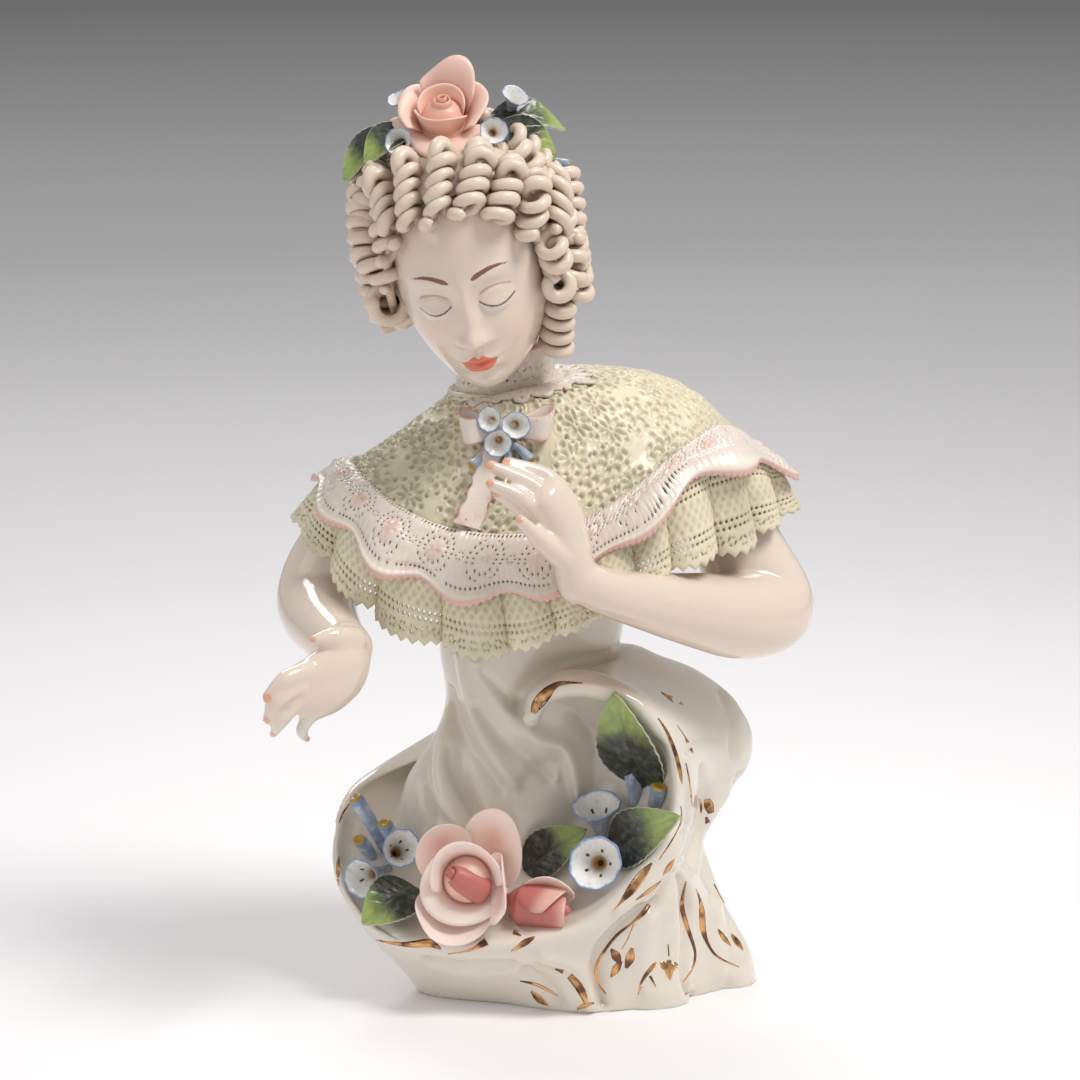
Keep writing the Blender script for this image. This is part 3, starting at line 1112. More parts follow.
def round_of(dx, dy, count, ring, a, b, start=0.0):
    """Distance to the nearest of count ellipses in a ring round a centre, a long outward, b wide."""
    r, turn = np.hypot(dx, dy), np.arctan2(dy, dx) - start
    share = TURN / count
    turn = (turn + share / 2) % share - share / 2
    x, y = r * np.cos(turn) - ring, r * np.sin(turn)
    return (np.hypot(x / a, y / b) - 1) * min(a, b)


def row_of(s, h, pitch, at, size, shift=0.0):
    """Distance to the nearest round hole of a row at one height."""
    x = ((s / pitch + shift) % 1 - 0.5) * pitch
    return np.hypot(x, h - at) - size


def lace_mesh(mid, normal, field, thick, raised):
    """A sheet with true holes, from a grid that goes all the way round.

    The sheet is kept where the field is above 0. In every cell the line where the field is 0 is
    found between the corners, as marching squares do. The outer side stands off by the thickness
    and the raised height, the inner side lies on the grid, and walls join both along every edge.
    Returns vertices, faces and, for each vertex, its place in the grid as row and column.
    """
    rows, cols = field.shape
    inside = field > 0
    node = np.arange(rows * cols).reshape(rows, cols)
    right = np.roll(field, -1, 1)
    cut_h = inside != (right > 0)
    share_h = np.where(cut_h, field / np.where(cut_h, field - right, 1), 0)
    below = field[1:]
    cut_v = inside[:-1] != (below > 0)
    share_v = np.where(cut_v, field[:-1] / np.where(cut_v, field[:-1] - below, 1), 0)
    id_h = rows * cols + node
    id_v = 2 * rows * cols + node
    r = np.arange(rows - 1)[:, None]
    c = np.arange(cols)[None]
    n = (c + 1) % cols
    a, b, d, e = (node[r, c], node[r, n], node[r + 1, n], node[r + 1, c])
    ab, bd, ed, ae = (id_h[r, c], id_v[r, n], id_h[r + 1, c], id_v[r, c])
    case = inside[r, c] * 1 + inside[r, n] * 2 + inside[r + 1, n] * 4 + inside[r + 1, c] * 8
    shapes = {
        1: [(a, ab, ae)], 2: [(ab, b, bd)], 3: [(a, b, bd, ae)], 4: [(bd, d, ed)],
        5: [(a, ab, ae), (bd, d, ed)], 6: [(ab, b, d, ed)], 7: [(a, b, d, ed, ae)], 8: [(ae, ed, e)],
        9: [(a, ab, ed, e)], 10: [(ab, b, bd), (ae, ed, e)], 11: [(a, b, bd, ed, e)],
        12: [(ae, bd, d, e)], 13: [(a, ab, bd, d, e)], 14: [(ab, b, d, e, ae)], 15: [(a, b, d, e)],
    }
    edges = {
        1: [(ab, ae)], 2: [(bd, ab)], 3: [(bd, ae)], 4: [(ed, bd)], 5: [(ab, ae), (ed, bd)], 6: [(ed, ab)],
        7: [(ed, ae)], 8: [(ae, ed)], 9: [(ab, ed)], 10: [(bd, ab), (ae, ed)], 11: [(bd, ed)],
        12: [(ae, bd)], 13: [(ab, bd)], 14: [(ae, ab)],
    }
    faces, walls = [], []
    for number, polygons in shapes.items():
        here = case == number
        for polygon in polygons:
            faces.append(np.stack([ids[here] for ids in polygon], -1))
        for pair in edges.get(number, []):
            walls.append(np.stack([ids[here] for ids in pair], -1))
    walls = np.concatenate(walls)
    used = np.unique(np.concatenate([f.ravel() for f in faces]))
    order = np.full(3 * rows * cols, -1)
    order[used] = np.arange(len(used))
    row, col = np.divmod(used % (rows * cols), cols)
    kind = used // (rows * cols)
    du = np.where(kind == 1, share_h[row, col], 0)
    low = np.minimum(row, rows - 2)
    dv = np.where(kind == 2, share_v[low, col], 0)
    next_row = np.minimum(row + (kind == 2), rows - 1)
    next_col = np.where(kind == 1, (col + 1) % cols, col)
    part = (du + dv)[:, None]
    place = mid[row, col] * (1 - part) + mid[next_row, next_col] * part
    face_out = unit(normal[row, col] * (1 - part) + normal[next_row, next_col] * part)
    height = np.where(kind == 0, raised[row, col], 0)[:, None]
    outer = place + face_out * (thick + height)
    count = len(used)
    out_faces = [order[f] for f in faces]
    in_faces = [f[:, ::-1] + count for f in out_faces]
    w = order[walls]
    side = np.stack([w[:, 1], w[:, 0], w[:, 0] + count, w[:, 1] + count], -1)
    verts = np.concatenate([outer, place])
    grid_place = np.stack([row + dv, col + du], -1)
    all_faces = [*out_faces, *in_faces, side]
    return verts, outward(verts, all_faces), np.concatenate([grid_place, grid_place])


def sample(values, grid_place):
    """Values of a grid that goes all the way round, at fractional rows and columns."""
    rows, cols = values.shape
    r, c = grid_place.T
    r0, c0 = np.floor(r).astype(int), np.floor(c).astype(int)
    r1, c1 = np.minimum(r0 + 1, rows - 1), (c0 + 1) % cols
    fr, fc = r - r0, c - c0
    top = values[r0, c0 % cols] * (1 - fc) + values[r0, c1] * fc
    low = values[r1, c0 % cols] * (1 - fc) + values[r1, c1] * fc
    return top * (1 - fr) + low * fr


def evened(grid, rows):
    """The same surface with its rows evenly far apart down every column."""
    step = np.linalg.norm(np.diff(grid, axis=0), axis=-1)
    length = np.concatenate([0 * step[:1], np.cumsum(step, axis=0)])
    length = length / length[-1:]
    cols = np.arange(grid.shape[1])
    out = np.empty((rows, grid.shape[1], 3))
    for k, share in enumerate(np.linspace(0, 1, rows)):
        low = np.clip((length <= share).sum(0) - 1, 0, len(grid) - 2)
        a, b = length[low, cols], length[low + 1, cols]
        part = np.clip((share - a) / (b - a), 0, 1)[:, None]
        out[k] = grid[low, cols] * (1 - part) + grid[low + 1, cols] * part
    return out


def scattered(points, apart, seed):
    """Numbers of points that all lie at least so far apart, found in a fixed random order."""
    order = np.random.default_rng(seed).permutation(len(points))
    kept = []
    free = np.ones(len(points), bool)
    for k in order:
        if free[k]:
            kept.append(k)
            free &= np.square(points - points[k]).sum(-1) > apart * apart
    return np.array(kept)


def flower_net(grid, normal, apart, seed):
    """For every grid point, its offsets along the sheet from the nearest flower, which one, and how clear."""
    flat, n = grid.reshape(-1, 3), normal.reshape(-1, 3)
    centre = scattered(flat[::3], apart, seed) * 3
    far = np.stack([np.square(flat - flat[c]).sum(-1) for c in centre], -1)
    order = np.argsort(far, axis=1)[:, :2]
    rows = np.arange(len(flat))
    near = centre[order[:, 0]]
    gap = np.sqrt(far[rows, order[:, 1]]) - np.sqrt(far[rows, order[:, 0]])
    x = unit(np.cross(n[near], [0.0, 0.0, 1.0]))
    y = np.cross(n[near], x)
    away = flat - flat[near]
    dx, dy = (away * x).sum(-1), (away * y).sum(-1)
    return [v.reshape(grid.shape[:2]) for v in (dx, dy, order[:, 0].astype(float), gap)]


def rosettes(dx, dy, name, gap):
    """The cape's flowers: below 0 in a pit, above 0 on the threads; most have six petals, some many rays."""
    start = luck(name) * TURN
    daisy = luck(name, 5.0) > 0.72
    petals = round_of(dx, dy, 6, 3.5, 1.9, 1.35, start)
    rays = round_of(dx, dy, 9, 3.5, 2.2, 0.8, start)
    eye = np.hypot(dx, dy) - np.where(daisy, 0.6, 0.4)
    outer = round_of(dx, dy, 9, 6.7, 1.0, 1.15, start + 0.35)
    f = np.minimum(np.minimum(np.where(daisy, rays, petals), eye), outer)
    return np.maximum(f, 0.55 - gap)


def build_cape(looks):
    """The cape: a closed sheet whose outer side carries flowers of smooth pits with raised rims."""
    cell = looks.lace_cell * 0.84
    turn = even_turns(lambda u: drape(u, np.array([-0.45]))[0], int(445 / cell))
    rows = int(72 / cell)
    mid = evened(drape(turn, (np.linspace(0.012, 0.985, 240) - 1) * 4), rows)
    normal = normals_of(mid)
    dx, dy, name, gap = flower_net(mid, normal, 11.5, 7)
    warp = 0.5 * noise(mid, 9, 8)
    f = rosettes(dx + warp, dy - warp, name, gap)
    rim = bump((f - 0.3) / 0.42)
    height = 0.9 * smooth(-0.4, 0.2, f) + 0.5 * rim * (1 + 0.4 * noise(mid, 6, 2)) + 0.15 * noise(mid, 9, 5)
    share = np.linspace(0, 1, rows)[:, None]
    edge = smooth(0, 0.02, share) * smooth(1, 0.98, share)
    outer = mid + normal * (height * edge)[..., None]
    coarse = slice(None, None, 4)
    inner = mid[coarse] - normal[coarse] * CAPE_THICK
    verts, faces = band(outer, inner)
    pit = smooth(0.1, -0.4, f)
    marks = {"pit": np.concatenate([pit.ravel(), np.zeros(inner.shape[0] * len(turn))])}
    made = make_object("lace_cape", verts, outward(verts, faces), marks)
    return hand_over(made, cape_finish(looks), "green_lace", "lace_cape")


def panel_share(turn):
    """For each angle, how far it lies across its panel from 0 to 1, and the panel's number."""
    starts = np.radians(np.array(PANELS, float))
    ends = np.append(starts[1:], starts[0] + TURN)
    local = (turn - starts[0]) % TURN + starts[0]
    k = np.clip(np.searchsorted(starts, local, side="right") - 1, 0, len(starts) - 1)
    return (local - starts[k]) / (ends[k] - starts[k]), k


def ruffle_profile(turn, levels):
    """How far the ruffle stands out: each panel bulges like a tube, with a narrow crease on either side."""
    w, k = panel_share(turn)
    bulge = np.sin(math.pi * np.clip(w, 0, 1)) ** 0.42
    deep = 1 + 0.2 * np.sin(k * 2.4)
    grow = np.clip(levels + 0.05, 0.02, 1)[:, None] ** 0.6
    return GAP + 0.4 + grow * (CREASE + (PLEAT_DEPTH - CREASE) * bulge * deep)[None]


def diamonds(s, h, cell, at, across, down, step, shift=0):
    """Distance to the nearest diamond-shaped hole of a row; lengths but the first two are in cells."""
    x = (s / cell - shift + step / 2) % step - step / 2
    y = h / cell - at
    return (np.abs(x) / across + np.abs(y) / down - 1) * min(across, down) * cell * 0.7


def ruffle_field(s, h, full, cell):
    """The crochet, by its cells: ladder rows, rosettes and a jagged hem, and the pressed trellis."""
    f = diamonds(s, h, cell, 2, 0.9, 0.9, 3)
    for k, at in enumerate((5, 8, 24, 27)):
        f = np.minimum(f, diamonds(s, h, cell, at, 0.9, 0.9, 3, k % 3))
    trellis = np.full(h.shape, 9.0)
    for k, at in enumerate((11.5, 14.5, 17.5, 20.5)):
        trellis = np.minimum(trellis, diamonds(s, h, cell, at, 1.6, 1.7, 5, 2.5 * (k % 2)))
    x = (s / cell + 3) % 6 - 3
    y = (h - full) / cell + 6.5
    rose = round_of(x, y, 6, 1.75, 0.55, 0.5) * cell
    f = np.minimum(f, np.where(h > 29 * cell, rose, 9))
    tooth = full - 0.75 * cell * np.abs(x)
    return np.minimum(f, tooth - h), trellis


def build_ruffle(looks):
    """The ruffle: a crochet sheet with true holes, hung in box pleats from the cape's edge."""
    rows = 41
    cell = 34 / (rows - 1)
    levels = np.linspace(-0.02, 1, rows)

    def hem_row(u):
        two = np.array([0.7, 0.75])
        grid = drape(u, two)
        return (grid + normals_of(grid) * ruffle_profile(u, two)[..., None])[0]

    turn = even_turns(hem_row, 30 * round(700 / looks.lace_cell / 30))
    mid = drape(turn, levels)
    mid = mid + normals_of(mid) * ruffle_profile(turn, levels)[..., None]
    normal = normals_of(mid)
    w, k = panel_share(turn)
    rise = 3.0 * (1 - np.sin(math.pi * np.clip(w, 0, 1)) ** 0.5) + 1.6 * (1 + np.sin(k * 1.9))
    s, h = np.meshgrid(np.arange(len(turn)) * cell, np.arange(rows) * cell)
    full = (rows - 1) * cell - 0.1 - rise[None] + 0 * h
    f, trellis = ruffle_field(s, h, full, cell)
    f = np.minimum(f, h - 0.3)
    f[0] = -1
    f[-1] = np.minimum(f[-1], -0.05)
    grain = 0.14 * noise(np.stack([s, h, 0 * h], -1), 1.9, 9)
    pressed = np.minimum(f, trellis)
    raised = 0.5 * smooth(-0.5, 0.5, pressed) + grain
    verts, faces, at = lace_mesh(mid, normal, f, looks.lace_thick, raised)
    near = sample(np.maximum(smooth(0.5, 0, f), 1.6 * smooth(0.3, -0.3, trellis)), at)
    made = make_object("green_lace_ruffle", verts, faces, {"pit": near})
    return hand_over(made, ruffle_finish(looks), "green_lace", "green_lace_ruffle")


def trim_profile(turn, levels):
    """How far the trim stands off: clear of the ruffle, in gathered waves that grow downwards."""
    wave = 1 + np.cos(TRIM_WAVES * turn + 0.8 * np.sin(3 * turn))
    k = levels[:, None]
    level_part = 0.5 - 1.6 * smooth(-0.3, -0.41, k) + PLEAT_DEPTH * 0.95 * np.clip(k, 0, None)
    return LACE_THICK + 2 * GAP + level_part + np.clip(k + 0.3, 0, None) ** 1.4 * 6.5 * wave[None]


def slid_drape(turn, levels, shift):
    """The drape at levels that are slid up by a shift of each column's own, from a finer set of rows."""
    fine = np.linspace(-0.75, 0.45, 61)
    grid = drape(turn, fine)
    at = (levels[:, None] - shift[None] - fine[0]) / (fine[1] - fine[0])
    row = np.clip(np.floor(at).astype(int), 0, len(fine) - 2)
    column = np.arange(len(turn))[None]
    part = (at - row)[..., None]
    return grid[row, column] * (1 - part) + grid[row + 1, column] * part


def trim_field(s, h, full, cell):
    """The trim, by its cells: a net of small holes round plain medallions, and an edge with picots."""
    x = (s / cell + MEDALLION / 2) % MEDALLION - MEDALLION / 2
    y = h / cell - MEDALLION_ROW
    f = np.full(h.shape, 9.0)
    for k, at in enumerate((2, 25)):
        filled = 0.6 * (luck(np.floor(s / cell / 3), k) > 0.8)
        f = np.minimum(f, diamonds(s, h, cell, at, 0.8, 0.8, 3, k) + filled)
    for count, ring in ((14, 6.8), (22, 10.2)):
        around = round_of(x / 1.2, y, count, ring, 0.7, 0.7) * cell
        f = np.minimum(f, np.where(np.abs(y) < 10, around, 9))
    beside = (s / cell) % MEDALLION - MEDALLION / 2
    f = np.minimum(f, round_of(beside, y, 6, 2.6, 0.7, 0.66) * cell)
    picot = (s / cell + 2) % 4 - 2
    edge = full - 0.45 * cell * np.abs(picot)
    return np.minimum(f, edge - h)


def build_trim(looks):
    """The white and pink trim over the seam of cape and ruffle, gathered in waves along its lower edge."""
    rows = 33
    cell = 18.4 / (rows - 1)
    levels = np.linspace(-0.41, 0.33, rows)

    def middle(u):
        two = np.array([0.1, 0.12])
        grid = drape(u, two)
        return (grid + normals_of(grid) * trim_profile(u, two)[..., None])[0]

    turn = even_turns(middle, MEDALLION * round(560 / looks.lace_cell / 0.85 / MEDALLION))
    around = (turn - math.radians(RAISED_AT) + math.pi) % TURN - math.pi
    mid = slid_drape(turn, levels, 0.24 * bump(around / 0.6))
    mid = mid + normals_of(mid) * trim_profile(turn, levels)[..., None]
    wave = np.cos(TRIM_WAVES * turn + 0.8 * np.sin(3 * turn))
    mid[..., 2] -= 2.6 * np.linspace(0, 1, rows)[:, None] ** 2 * wave[None]
    normal = normals_of(mid)
    s, h = np.meshgrid(np.arange(len(turn)) * cell, np.arange(rows) * cell)
    f = trim_field(s, h, 18.3 + 0 * h, cell)
    f = np.minimum(f, h - 0.2)
    f[0], f[-1] = -1, np.minimum(f[-1], -0.05)
    border = smooth(1, 0, np.abs(h - 16.8) / 1.1)
    x = ((s / cell + MEDALLION / 2) % MEDALLION - MEDALLION / 2) / 1.2
    y = h / cell - MEDALLION_ROW
    apart, petals = np.hypot(x, y), 0.5 + 0.5 * np.cos(5 * np.arctan2(y, x))
    bloom = smooth(6, 3.5, apart) * petals * smooth(0.8, 2, apart) + bump(apart / 1.2)
    grain = 0.16 * noise(np.stack([s, h, 0 * h], -1), 3.4, 12)
    raised = 0.4 * smooth(0, 0.5, f) + 0.9 * border + 0.7 * bloom + grain
    verts, faces, at = lace_mesh(mid, normal, f, looks.lace_thick, raised)
    marks = {"pit": sample(smooth(0.4, 0, f), at), "level": sample(h / 18.4, at),
             "bloom": sample(smooth(7, 3, apart), at)}
    made = make_object("white_lace_trim", verts, faces, marks)
    return hand_over(made, trim_finish(looks), "pink_lace", "white_lace_trim")


def cape_finish(looks):
    """Grey-green glazed lace, darker in the pits, creamier where the glaze pooled."""
    f = Finish("cape_lace", 0.42, IOR=1.5)
    f.set(Coat__Weight=0.35, Coat__Roughness=0.22)
    cloudy = f.noise(40, 3)
    colour = f.mix(f.range(cloudy, 0.35, 0.7), tuple(looks.green), tuple(looks.green_pale))
    ao = f.add("ShaderNodeAmbientOcclusion", samples=4)
    ao.inputs["Distance"].default_value = 1.6 * MM
    hollow = f.range(ao.outputs["AO"], 0.95, 0.45)
    hollow = f.math("MAXIMUM", f.math("MULTIPLY", f.mark("pit"), 0.3), hollow)
    colour = f.mix(f.math("MULTIPLY", hollow, 0.38), colour, (0.26, 0.25, 0.14))
    f.set(Base__Color=colour)
    f.relief(f.noise(0.8, 2, 0.5), 0.07)
    return f.material


def ruffle_finish(looks):
    """The same green lace, drier."""
    f = Finish("ruffle_lace", 0.5, IOR=1.48)
    f.set(Coat__Weight=0.2, Coat__Roughness=0.3)
    cloudy = f.noise(30, 3)
    colour = f.mix(f.range(cloudy, 0.26, 0.6), tuple(looks.green), tuple(looks.green_pale))
    ao = f.add("ShaderNodeAmbientOcclusion", samples=4)
    ao.inputs["Distance"].default_value = 4 * MM
    hollow = f.math("MAXIMUM", f.math("MULTIPLY", f.mark("pit"), 0.5), f.range(ao.outputs["AO"], 0.9, 0.2))
    colour = f.mix(f.math("MULTIPLY", hollow, 0.4), colour, (0.26, 0.26, 0.17))
    f.set(Base__Color=colour)
    f.relief(f.noise(0.7, 2, 0.5), 0.1)
    return f.material


def trim_finish(looks):
    """White lace with pink blotches, a cream border and a pink edge."""
    f = Finish("trim_lace", 0.3, IOR=1.5)
    f.set(Coat__Weight=0.4, Coat__Roughness=0.15)
    blotch = f.math("MULTIPLY", f.mark("bloom"), f.range(f.noise(7, 3), 0.35, 0.6))
    blotch = f.math("MAXIMUM", blotch, f.range(f.noise(18, 2), 0.6, 0.74))
    colour = f.mix(f.math("MULTIPLY", blotch, 0.85), tuple(looks.white), tuple(looks.pink))
    level = f.mark("level")
    border = f.math("MULTIPLY", f.range(level, 0.85, 0.88), f.range(level, 0.95, 0.93))
    colour = f.mix(border, colour, (0.88, 0.81, 0.70))
    colour = f.mix(f.math("MULTIPLY", f.range(level, 0.89, 0.94), 0.8), colour, (0.76, 0.42, 0.36))
    ao = f.add("ShaderNodeAmbientOcclusion", samples=4)
    ao.inputs["Distance"].default_value = 3 * MM
    hollow = f.range(ao.outputs["AO"], 0.85, 0.2)
    colour = f.mix(f.math("MULTIPLY", hollow, 0.5), colour, (0.3, 0.22, 0.17))
    f.set(Base__Color=colour)
    f.relief(f.noise(0.8, 2, 0.6), 0.12)
    return f.material


# Modelled flowers, leaves and the bow


def axes_of(axis, hint=(0, 0, 1)):
    """Three unit vectors: to the viewer's right, up along the hint, and the axis itself."""
    z = unit(axis)
    x = unit(np.cross(np.asarray(hint, float), z))
    return x, np.cross(z, x), z


def placed(points, at, axes):
    """Points given along three axes from a place."""
    x, y, z = axes
    return np.asarray(at, float) + points[..., :1] * x + points[..., 1:2] * y + points[..., 2:] * z


def sheet_normals(grid):
    """Unit normals of an open grid."""
    return unit(np.cross(np.gradient(grid, axis=1), np.gradient(grid, axis=0)))


def leaf_of(thickness, grid, edge):
    """A closed sheet of the given thickness round a grid, thinned where the edge mark nears 1."""
    shift = sheet_normals(grid) * (thickness / 2 * (1 - 0.55 * edge))[..., None]
    return slab(grid + shift, grid - shift)


def curl_petal(turn, spread, low, high, height, flare=0.0, wave=0.0, seed=0.0, thick=1.25, foot=0.0):
    """A petal that stands round the flower's axis: s runs across it and t up it.

    Its radius grows from low to high as t to the power 0.8 and flares as t to the fourth; its
    upper edge falls at both sides as the cube of s; sine waves of s ruffle the edge.
    """
    s = np.linspace(-1, 1, 40)[None]
    t = np.linspace(0, 1, 15)[:, None]
    reach = np.radians(spread) * (0.62 + 0.38 * np.sin(math.pi * (0.08 + 0.62 * t)))
    angle = np.radians(turn) + s * reach
    top = 1 - 0.24 * np.abs(s) ** 3 + 0.05 * wave * np.sin(4 * s + seed)
    r = low + (high - low) * t**0.8 + flare * t**4 * (1 + 0.25 * wave * np.sin(3 * s + seed))
    r = r + 0.4 * wave * t**2 * np.sin(5 * s + 2 * seed)
    z = foot + (height - foot) * t * top - 0.35 * flare * t**6
    grid = np.stack([np.cos(angle) * r, np.sin(angle) * r, z + 0 * angle], -1)
    edge = np.maximum(np.abs(s) ** 6 + 0 * t, t**6 + 0 * s)
    verts, faces = leaf_of(thick, grid, edge)
    tone = np.broadcast_to(1 - t, edge.shape).ravel()
    return verts, faces, np.concatenate([tone, tone])


def disc_petal(at, out, size, cup=3.0, spin=0.0, wave=0.0, seed=0.0, thick=1.3, roll=0.0):
    """A petal like a saucer: r runs from its middle to its edge and a goes round.

    The outline is an ellipse with sine waves of a; the middle lies cup deeper than the edge, as r
    squared, and the last part of the edge rolls back. out is the way its hollow faces.
    """
    rings, sides = 15, 48
    r = ((np.arange(rings) + 1) / rings)[:, None]
    a = (np.arange(sides) * TURN / sides)[None]
    outline = 1 + 0.05 * wave * (np.sin(2 * a + seed) + 0.7 * np.sin(3 * a + 1.7 * seed))
    x = r * np.cos(a) * outline * size[0]
    y = r * np.sin(a) * outline * size[1]
    lift = cup * r**2 + 0.7 * wave * r**3 * np.sin(3 * a + seed) - roll * smooth(0.72, 1.05, r) * (1 + 0 * a)
    front = np.stack([x, y, lift], -1)
    thin = thick * (1 - 0.5 * smooth(0.8, 1, r))
    back = front - np.stack([0.25 * x / size[0], 0.25 * y / size[1], 1 + 0 * x], -1) * thin[..., None]
    turned = np.concatenate([front, back[::-1]])
    c, q = np.cos(np.radians(spin)), np.sin(np.radians(spin))
    turned = np.stack([turned[..., 0] * c - turned[..., 1] * q, turned[..., 0] * q + turned[..., 1] * c,
                       turned[..., 2]], -1)
    verts, faces = skin(placed(turned, at, axes_of(out, (0, 1, 0.01))))
    tone = np.broadcast_to(1 - r, (rings, sides))
    return verts, faces, np.concatenate([tone.ravel(), tone[::-1].ravel(), [1, 1]])


def rolled_heart(at, axis, radius, height, turns=2.2):
    """The rolled heart of a rose: a sheet wound as a spiral whose radius shrinks as it winds and rises."""
    w = np.linspace(0, 1, 90)[None]
    t = np.linspace(0, 1, 12)[:, None]
    belly = 0.7 + 0.3 * np.sin(math.pi * np.minimum(0.15 + t * 0.7, 1))
    r = radius * (1 - 0.72 * w) * (1 - 0.3 * t**1.5) * belly
    z = height * (t * (0.86 + 0.14 * w))
    angle = w * turns * TURN
    grid = np.stack([np.cos(angle) * r, np.sin(angle) * r, z + 0 * angle], -1)
    verts, faces = leaf_of(1.15, grid, np.maximum(t**6, w**30))
    return placed(verts, at, axes_of(axis)), faces, np.full(len(verts), 2.0)


def lump(stations, tone, sides=30, steps=24):
    """A round body such as a calyx or a bud, in one tone."""
    verts, faces = limb(stations, sides=sides, steps=steps)
    return verts, faces, np.full(len(verts), float(tone))


def flower_from(name, petals, at, axis, material, *nodes):
    """Joins petals into one piece in the flower's own axes and puts it in its place."""
    parts, tones = [], []
    for verts, faces, tone in petals:
        parts.append((verts, outward(verts, faces)))
        tones.append(tone)
    verts, faces = merged(parts)
    verts = placed(verts, at, axes_of(axis))
    made = make_object(name, verts, faces, {"tone": np.concatenate(tones)})
    return hand_over(made, material, "rose_glaze", *nodes)


def build_base_rose(looks):
    """The open rose: outer saucers, a folded petal, a cup of two petals and the rolled heart."""
    petals = [
        disc_petal((-9.5, 10.5, 1), (0.3, -0.35, 1), (11, 12), 3.5, 20, 1.2, 0.5),
        disc_petal((10.5, 12.5, 2), (-0.3, -0.3, 1), (11.5, 16.5), 4.5, -8, 1.2, 2.2),
        disc_petal((-5.5, -14.5, 3), (0.1, 0.45, 1), (15, 11.5), 4.5, -4, 1.2, 4.0),
        disc_petal((12.5, -3, 9), (-0.9, 0.2, 0.5), (6, 15), 3.0, 24, 1.5, 1.0, roll=1.0),
        curl_petal(96, 108, 7.6, 11.6, 14.5, 2.4, 1.3, 0.4, 1.0),
        curl_petal(248, 106, 8.2, 12.6, 9.5, 4.2, 1.6, 2.0, 1.0),
        rolled_heart((6.5, -4.0, 5), (-0.8, 0.46, 0.42), 6.0, 17.0, 1.5),
        lump([[0, 0, -9, 5, 5], [0, 0, -2, 9.5, 9.5], [0, 0, 3, 9, 9]], 1),
    ]
    return flower_from("base_rose", petals, (-27, -44, 50), (0, -0.95, 0.2), rose_finish(looks), "base_rose")


def deeper(petal, more):
    """The same petal, further towards the heart's colour."""
    verts, faces, tone = petal
    return verts, faces, tone + more


def build_rosebud(looks):
    """The half-open rosebud: it points to her left, rolled and folded, between two pale petals."""
    petals = [
        lump([[0, 0, -8, 2.4, 2.4], [0, 0, -3, 4.6, 4.6], [0, 0, 3, 7.2, 7.2]], 1.6),
        lump([[0, 0, 0, 6.6, 6.6], [0, 0, 6, 7.6, 7.6], [-1, 1, 12, 6.0, 6.0], [-1.5, 2, 18, 2.2, 2.2]], 1.6),
        deeper(curl_petal(165, 105, 8.0, 5.6, 20, 0.2, 0.5, 0.4), 1.2),
        deeper(curl_petal(80, 95, 8.2, 7.6, 17, 0.8, 0.5, 1.4), 0.9),
        disc_petal((3.5, 6.5, 8), (-0.85, -0.45, 0.2), (10.5, 8.5), 2.6, 10, 1.3, 0.6),
        disc_petal((-1.5, -7.5, 9), (-0.55, 0.85, 0.15), (10, 6.5), 2.2, -6, 1.3, 2.1),
    ]
    return flower_from("base_rosebud", petals, (-6, -46, 40.5), (0.87, -0.48, -0.06), rose_finish(looks),
                       "base_rosebud")


def build_hair_rose(looks):
    """The rose on top of the hair, seen from its side: a wide wavy petal in front, a tall one behind."""
    petals = [
        curl_petal(262, 92, 7.5, 13.5, 5.2, 6.6, 2.0, 0.3, 1.0),
        curl_petal(20, 62, 7.5, 13.5, 12.5, 3.0, 0.8, 1.2),
        curl_petal(165, 58, 7.5, 13.0, 10.5, 3.0, 1.0, 2.6),
        curl_petal(74, 60, 8, 11.5, 19.5, 3.4, 2.2, 1.75),
        curl_petal(262, 84, 6.5, 9.4, 11.5, 0.6, 0.6, 0.9),
        curl_petal(95, 96, 6, 8.2, 13.0, 0.4, 0.5, 2.0),
        rolled_heart((0, 0, 1), (0.05, 0.1, 1), 5.4, 12.5, 1.6),
        lump([[0, 0, -6, 5, 5], [0, 0, -1, 9, 9], [0, 0, 3, 8, 8]], 1),
    ]
    return flower_from("hair_rose", petals, (-35, -24, 327), (-0.05, -0.56, 0.83), rose_finish(looks, True),
                       "hair_rose")


def rose_finish(looks, peach=False):
    """Pale pink bisque that deepens towards the foot of each petal; the heart is deep pink."""
    f = Finish("peach_rose" if peach else "pink_rose", 0.42, IOR=1.48, Subsurface__Weight=0.15,
               Subsurface__Scale=0.003)
    f.set(Coat__Weight=0.15, Coat__Roughness=0.3)
    pale, deep, heart = (looks.peach, looks.peach_deep, looks.peach_deep) if peach else (
        looks.rose, looks.rose_deep, looks.rose_heart)
    tone = f.mark("tone")
    cloudy = f.noise(9, 3)
    shade = f.math("MULTIPLY", f.range(tone, 0.2, 1.0), f.range(cloudy, 0.2, 0.7, 0.55, 1))
    colour = f.mix(shade, tuple(pale), tuple(deep))
    colour = f.mix(f.range(tone, 1.1, 1.5), colour, tuple(heart))
    f.set(Base__Color=colour)
    f.relief(f.noise(1.4, 3), 0.06)
    return f.material


# A trumpet from foot to lip and down its inside: radius and height as shares of its size, 1 if inside
TRUMPET_PROFILE = [
    [0.17, 0, 0], [0.2, 0.12, 0], [0.24, 0.3, 0], [0.32, 0.48, 0], [0.47, 0.66, 0], [0.68, 0.82, 0],
    [0.9, 0.95, 0], [0.985, 0.99, 0], [1, 1.02, 1], [0.96, 1.03, 1], [0.88, 0.985, 1],
    [0.72, 0.9, 1], [0.52, 0.77, 1], [0.36, 0.64, 1], [0.24, 0.52, 1], [0.13, 0.4, 1], [0.05, 0.34, 1],
]


